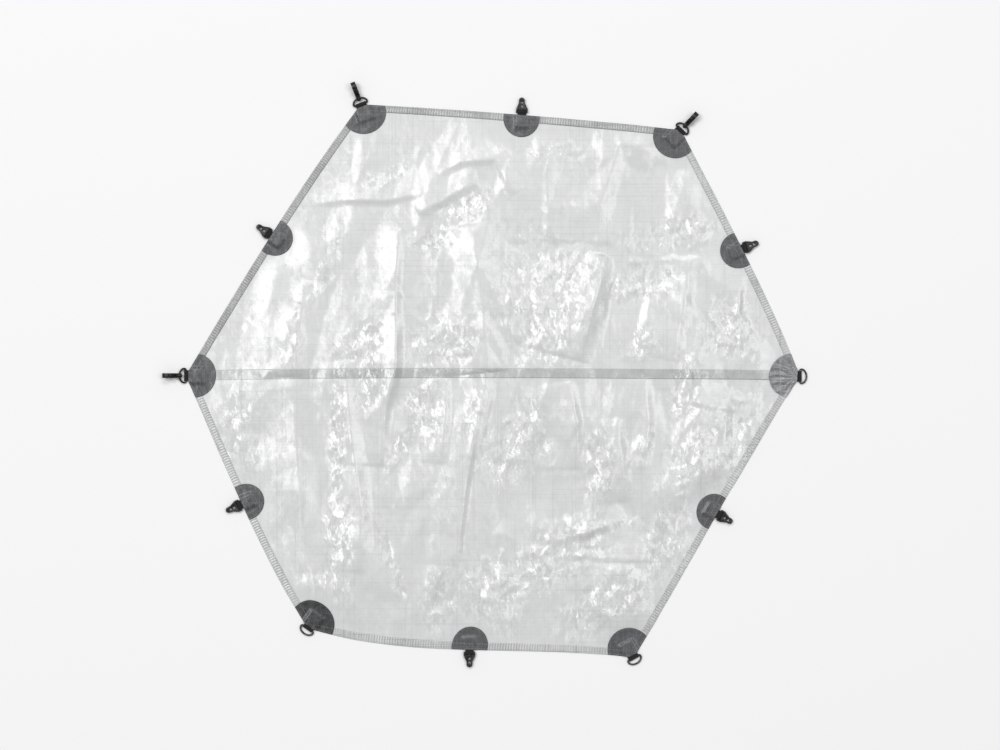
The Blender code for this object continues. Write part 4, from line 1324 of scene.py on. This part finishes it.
CRUMPLES = (
    Crumple((-0.045, 0.304), (0.050, 0.026), 30, 0.0010),
    Crumple((-0.105, 0.246), (0.046, 0.024), 15, 0.0011),
    Crumple((-0.232, 0.062), (0.052, 0.030), 35, 0.0011),
    Crumple((-0.092, 0.062), (0.066, 0.044), 10, 0.0011),
    Crumple((0.078, 0.140), (0.110, 0.078), 100, 0.0010, 0.009, 2.0, 0.9),
    Crumple((0.135, 0.190), (0.050, 0.045), 60, 0.0011),
    Crumple((0.318, 0.252), (0.082, 0.030), 8, 0.0012),
    Crumple((0.258, 0.166), (0.066, 0.030), 12, 0.0012),
    Crumple((0.412, 0.085), (0.056, 0.050), 120, 0.0009, 0.011, 1.3),
    Crumple((0.335, -0.010), (0.064, 0.028), 80, 0.0010),
    Crumple((-0.118, -0.050), (0.062, 0.032), 78, 0.0013),
    Crumple((-0.170, -0.128), (0.052, 0.014), 55, 0.0012),
    Crumple((-0.275, -0.080), (0.110, 0.014), 90, 0.0010),
    Crumple((-0.274, -0.290), (0.082, 0.022), 90, 0.0013),
    Crumple((-0.216, -0.010), (0.046, 0.028), 80, 0.0011),
    Crumple((0.030, -0.122), (0.076, 0.044), 60, 0.0013),
    Crumple((-0.040, -0.062), (0.050, 0.012), 75, 0.0011),
    Crumple((0.186, -0.150), (0.062, 0.028), 95, 0.0013),
    Crumple((0.255, -0.125), (0.034, 0.014), 60, 0.0012),
    Crumple((0.385, -0.130), (0.110, 0.070), 60, 0.0009, 0.011, 1.4, 0.85),
    Crumple((0.092, -0.318), (0.120, 0.048), 30, 0.0013),
    Crumple((0.175, -0.270), (0.070, 0.014), 18, 0.0011),
    Crumple((0.300, -0.285), (0.075, 0.040), 70, 0.0011),
    Crumple((-0.008, -0.385), (0.075, 0.048), 110, 0.0013),
    Crumple((-0.095, -0.395), (0.065, 0.030), 85, 0.0012),
    Crumple((0.190, -0.395), (0.095, 0.040), 35, 0.0012),
    Crumple((-0.445, -0.095), (0.070, 0.030), 100, 0.0008, 0.010, 1.5, 0.7),
    Crumple((-0.180, -0.330), (0.070, 0.012), 110, 0.0012),
    Crumple((-0.290, -0.370), (0.050, 0.030), 140, 0.0009, 0.010, 1.5, 0.6),
    Crumple((-0.300, 0.180), (0.060, 0.014), 70, 0.0009, 0.010, 1.8, 0.6),
    Crumple((-0.190, 0.350), (0.050, 0.016), 25, 0.0008, 0.010, 1.8, 0.55),
    Crumple((0.095, 0.400), (0.060, 0.020), 5, 0.0007, 0.010, 1.5, 0.5),
    Crumple((0.260, 0.060), (0.030, 0.024), 60, 0.0010),
    Crumple((-0.350, 0.080), (0.060, 0.020), 80, 0.0008, 0.010, 1.6, 0.5),
)


def find_fittings() -> tuple[Fitting, ...]:
    """Read every fitting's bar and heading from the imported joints.

    Returns:
        The six corner fittings and then the six edge ones.
    """
    found = []
    for joint in frame["joints"]:
        kind, _, place = joint["name"].partition("_swing_")
        if kind not in ("ring", "frame", "tensioner") or not place:
            continue
        x, y, _ = joint["pos_m"]
        axis = joint["axis"]
        heading = Vector((-axis[1], axis[0])).normalized()
        corner = kind != "tensioner"
        found.append(Fitting(f"{place}_{'corner' if corner else 'edge'}", Vector((x, y)), heading,
                             joint["child"], 0.0190 if corner else 0.0150, 0.0260 if corner else 0.0240))
    return tuple(sorted(found, key=lambda fitting: fitting.name.endswith("_edge")))


def main() -> None:
    """Build the whole sheet, its fittings and the studio."""
    logging.basicConfig(level=logging.INFO, format="%(name)s: %(message)s")
    fittings = find_fittings()
    relief = LaidRelief(folds=FOLDS, crumples=CRUMPLES, fittings=fittings)
    corners, headings = {}, {}
    for fitting in fittings:
        if fitting.name.endswith("_corner"):
            name = fitting.name.removesuffix("_corner")
            corners[name], headings[name] = fitting.bar, fitting.heading
    sheet = LaidSheet(relief, corners, headings)
    film = FilmLaminate("clear_film_laminate", "#eceded", "#d8d9d9", opacity=0.80)
    taped = FilmLaminate("taped_film_laminate", "#b0b2b2", "#a4a6a6")
    panels = Panels(sheet, film).build()
    tape = SeamTape(sheet, taped).build()
    hems = Hems(sheet).build()
    patches = Patches(sheet)
    dark = patches.build()
    threads = Stitching(sheet, patches).build()
    copies = RoundedCopies()
    WebbingLoops(copies, fittings).build()
    Hardware(copies).build()
    Studio().build()


if __name__ == "__main__":
    main()
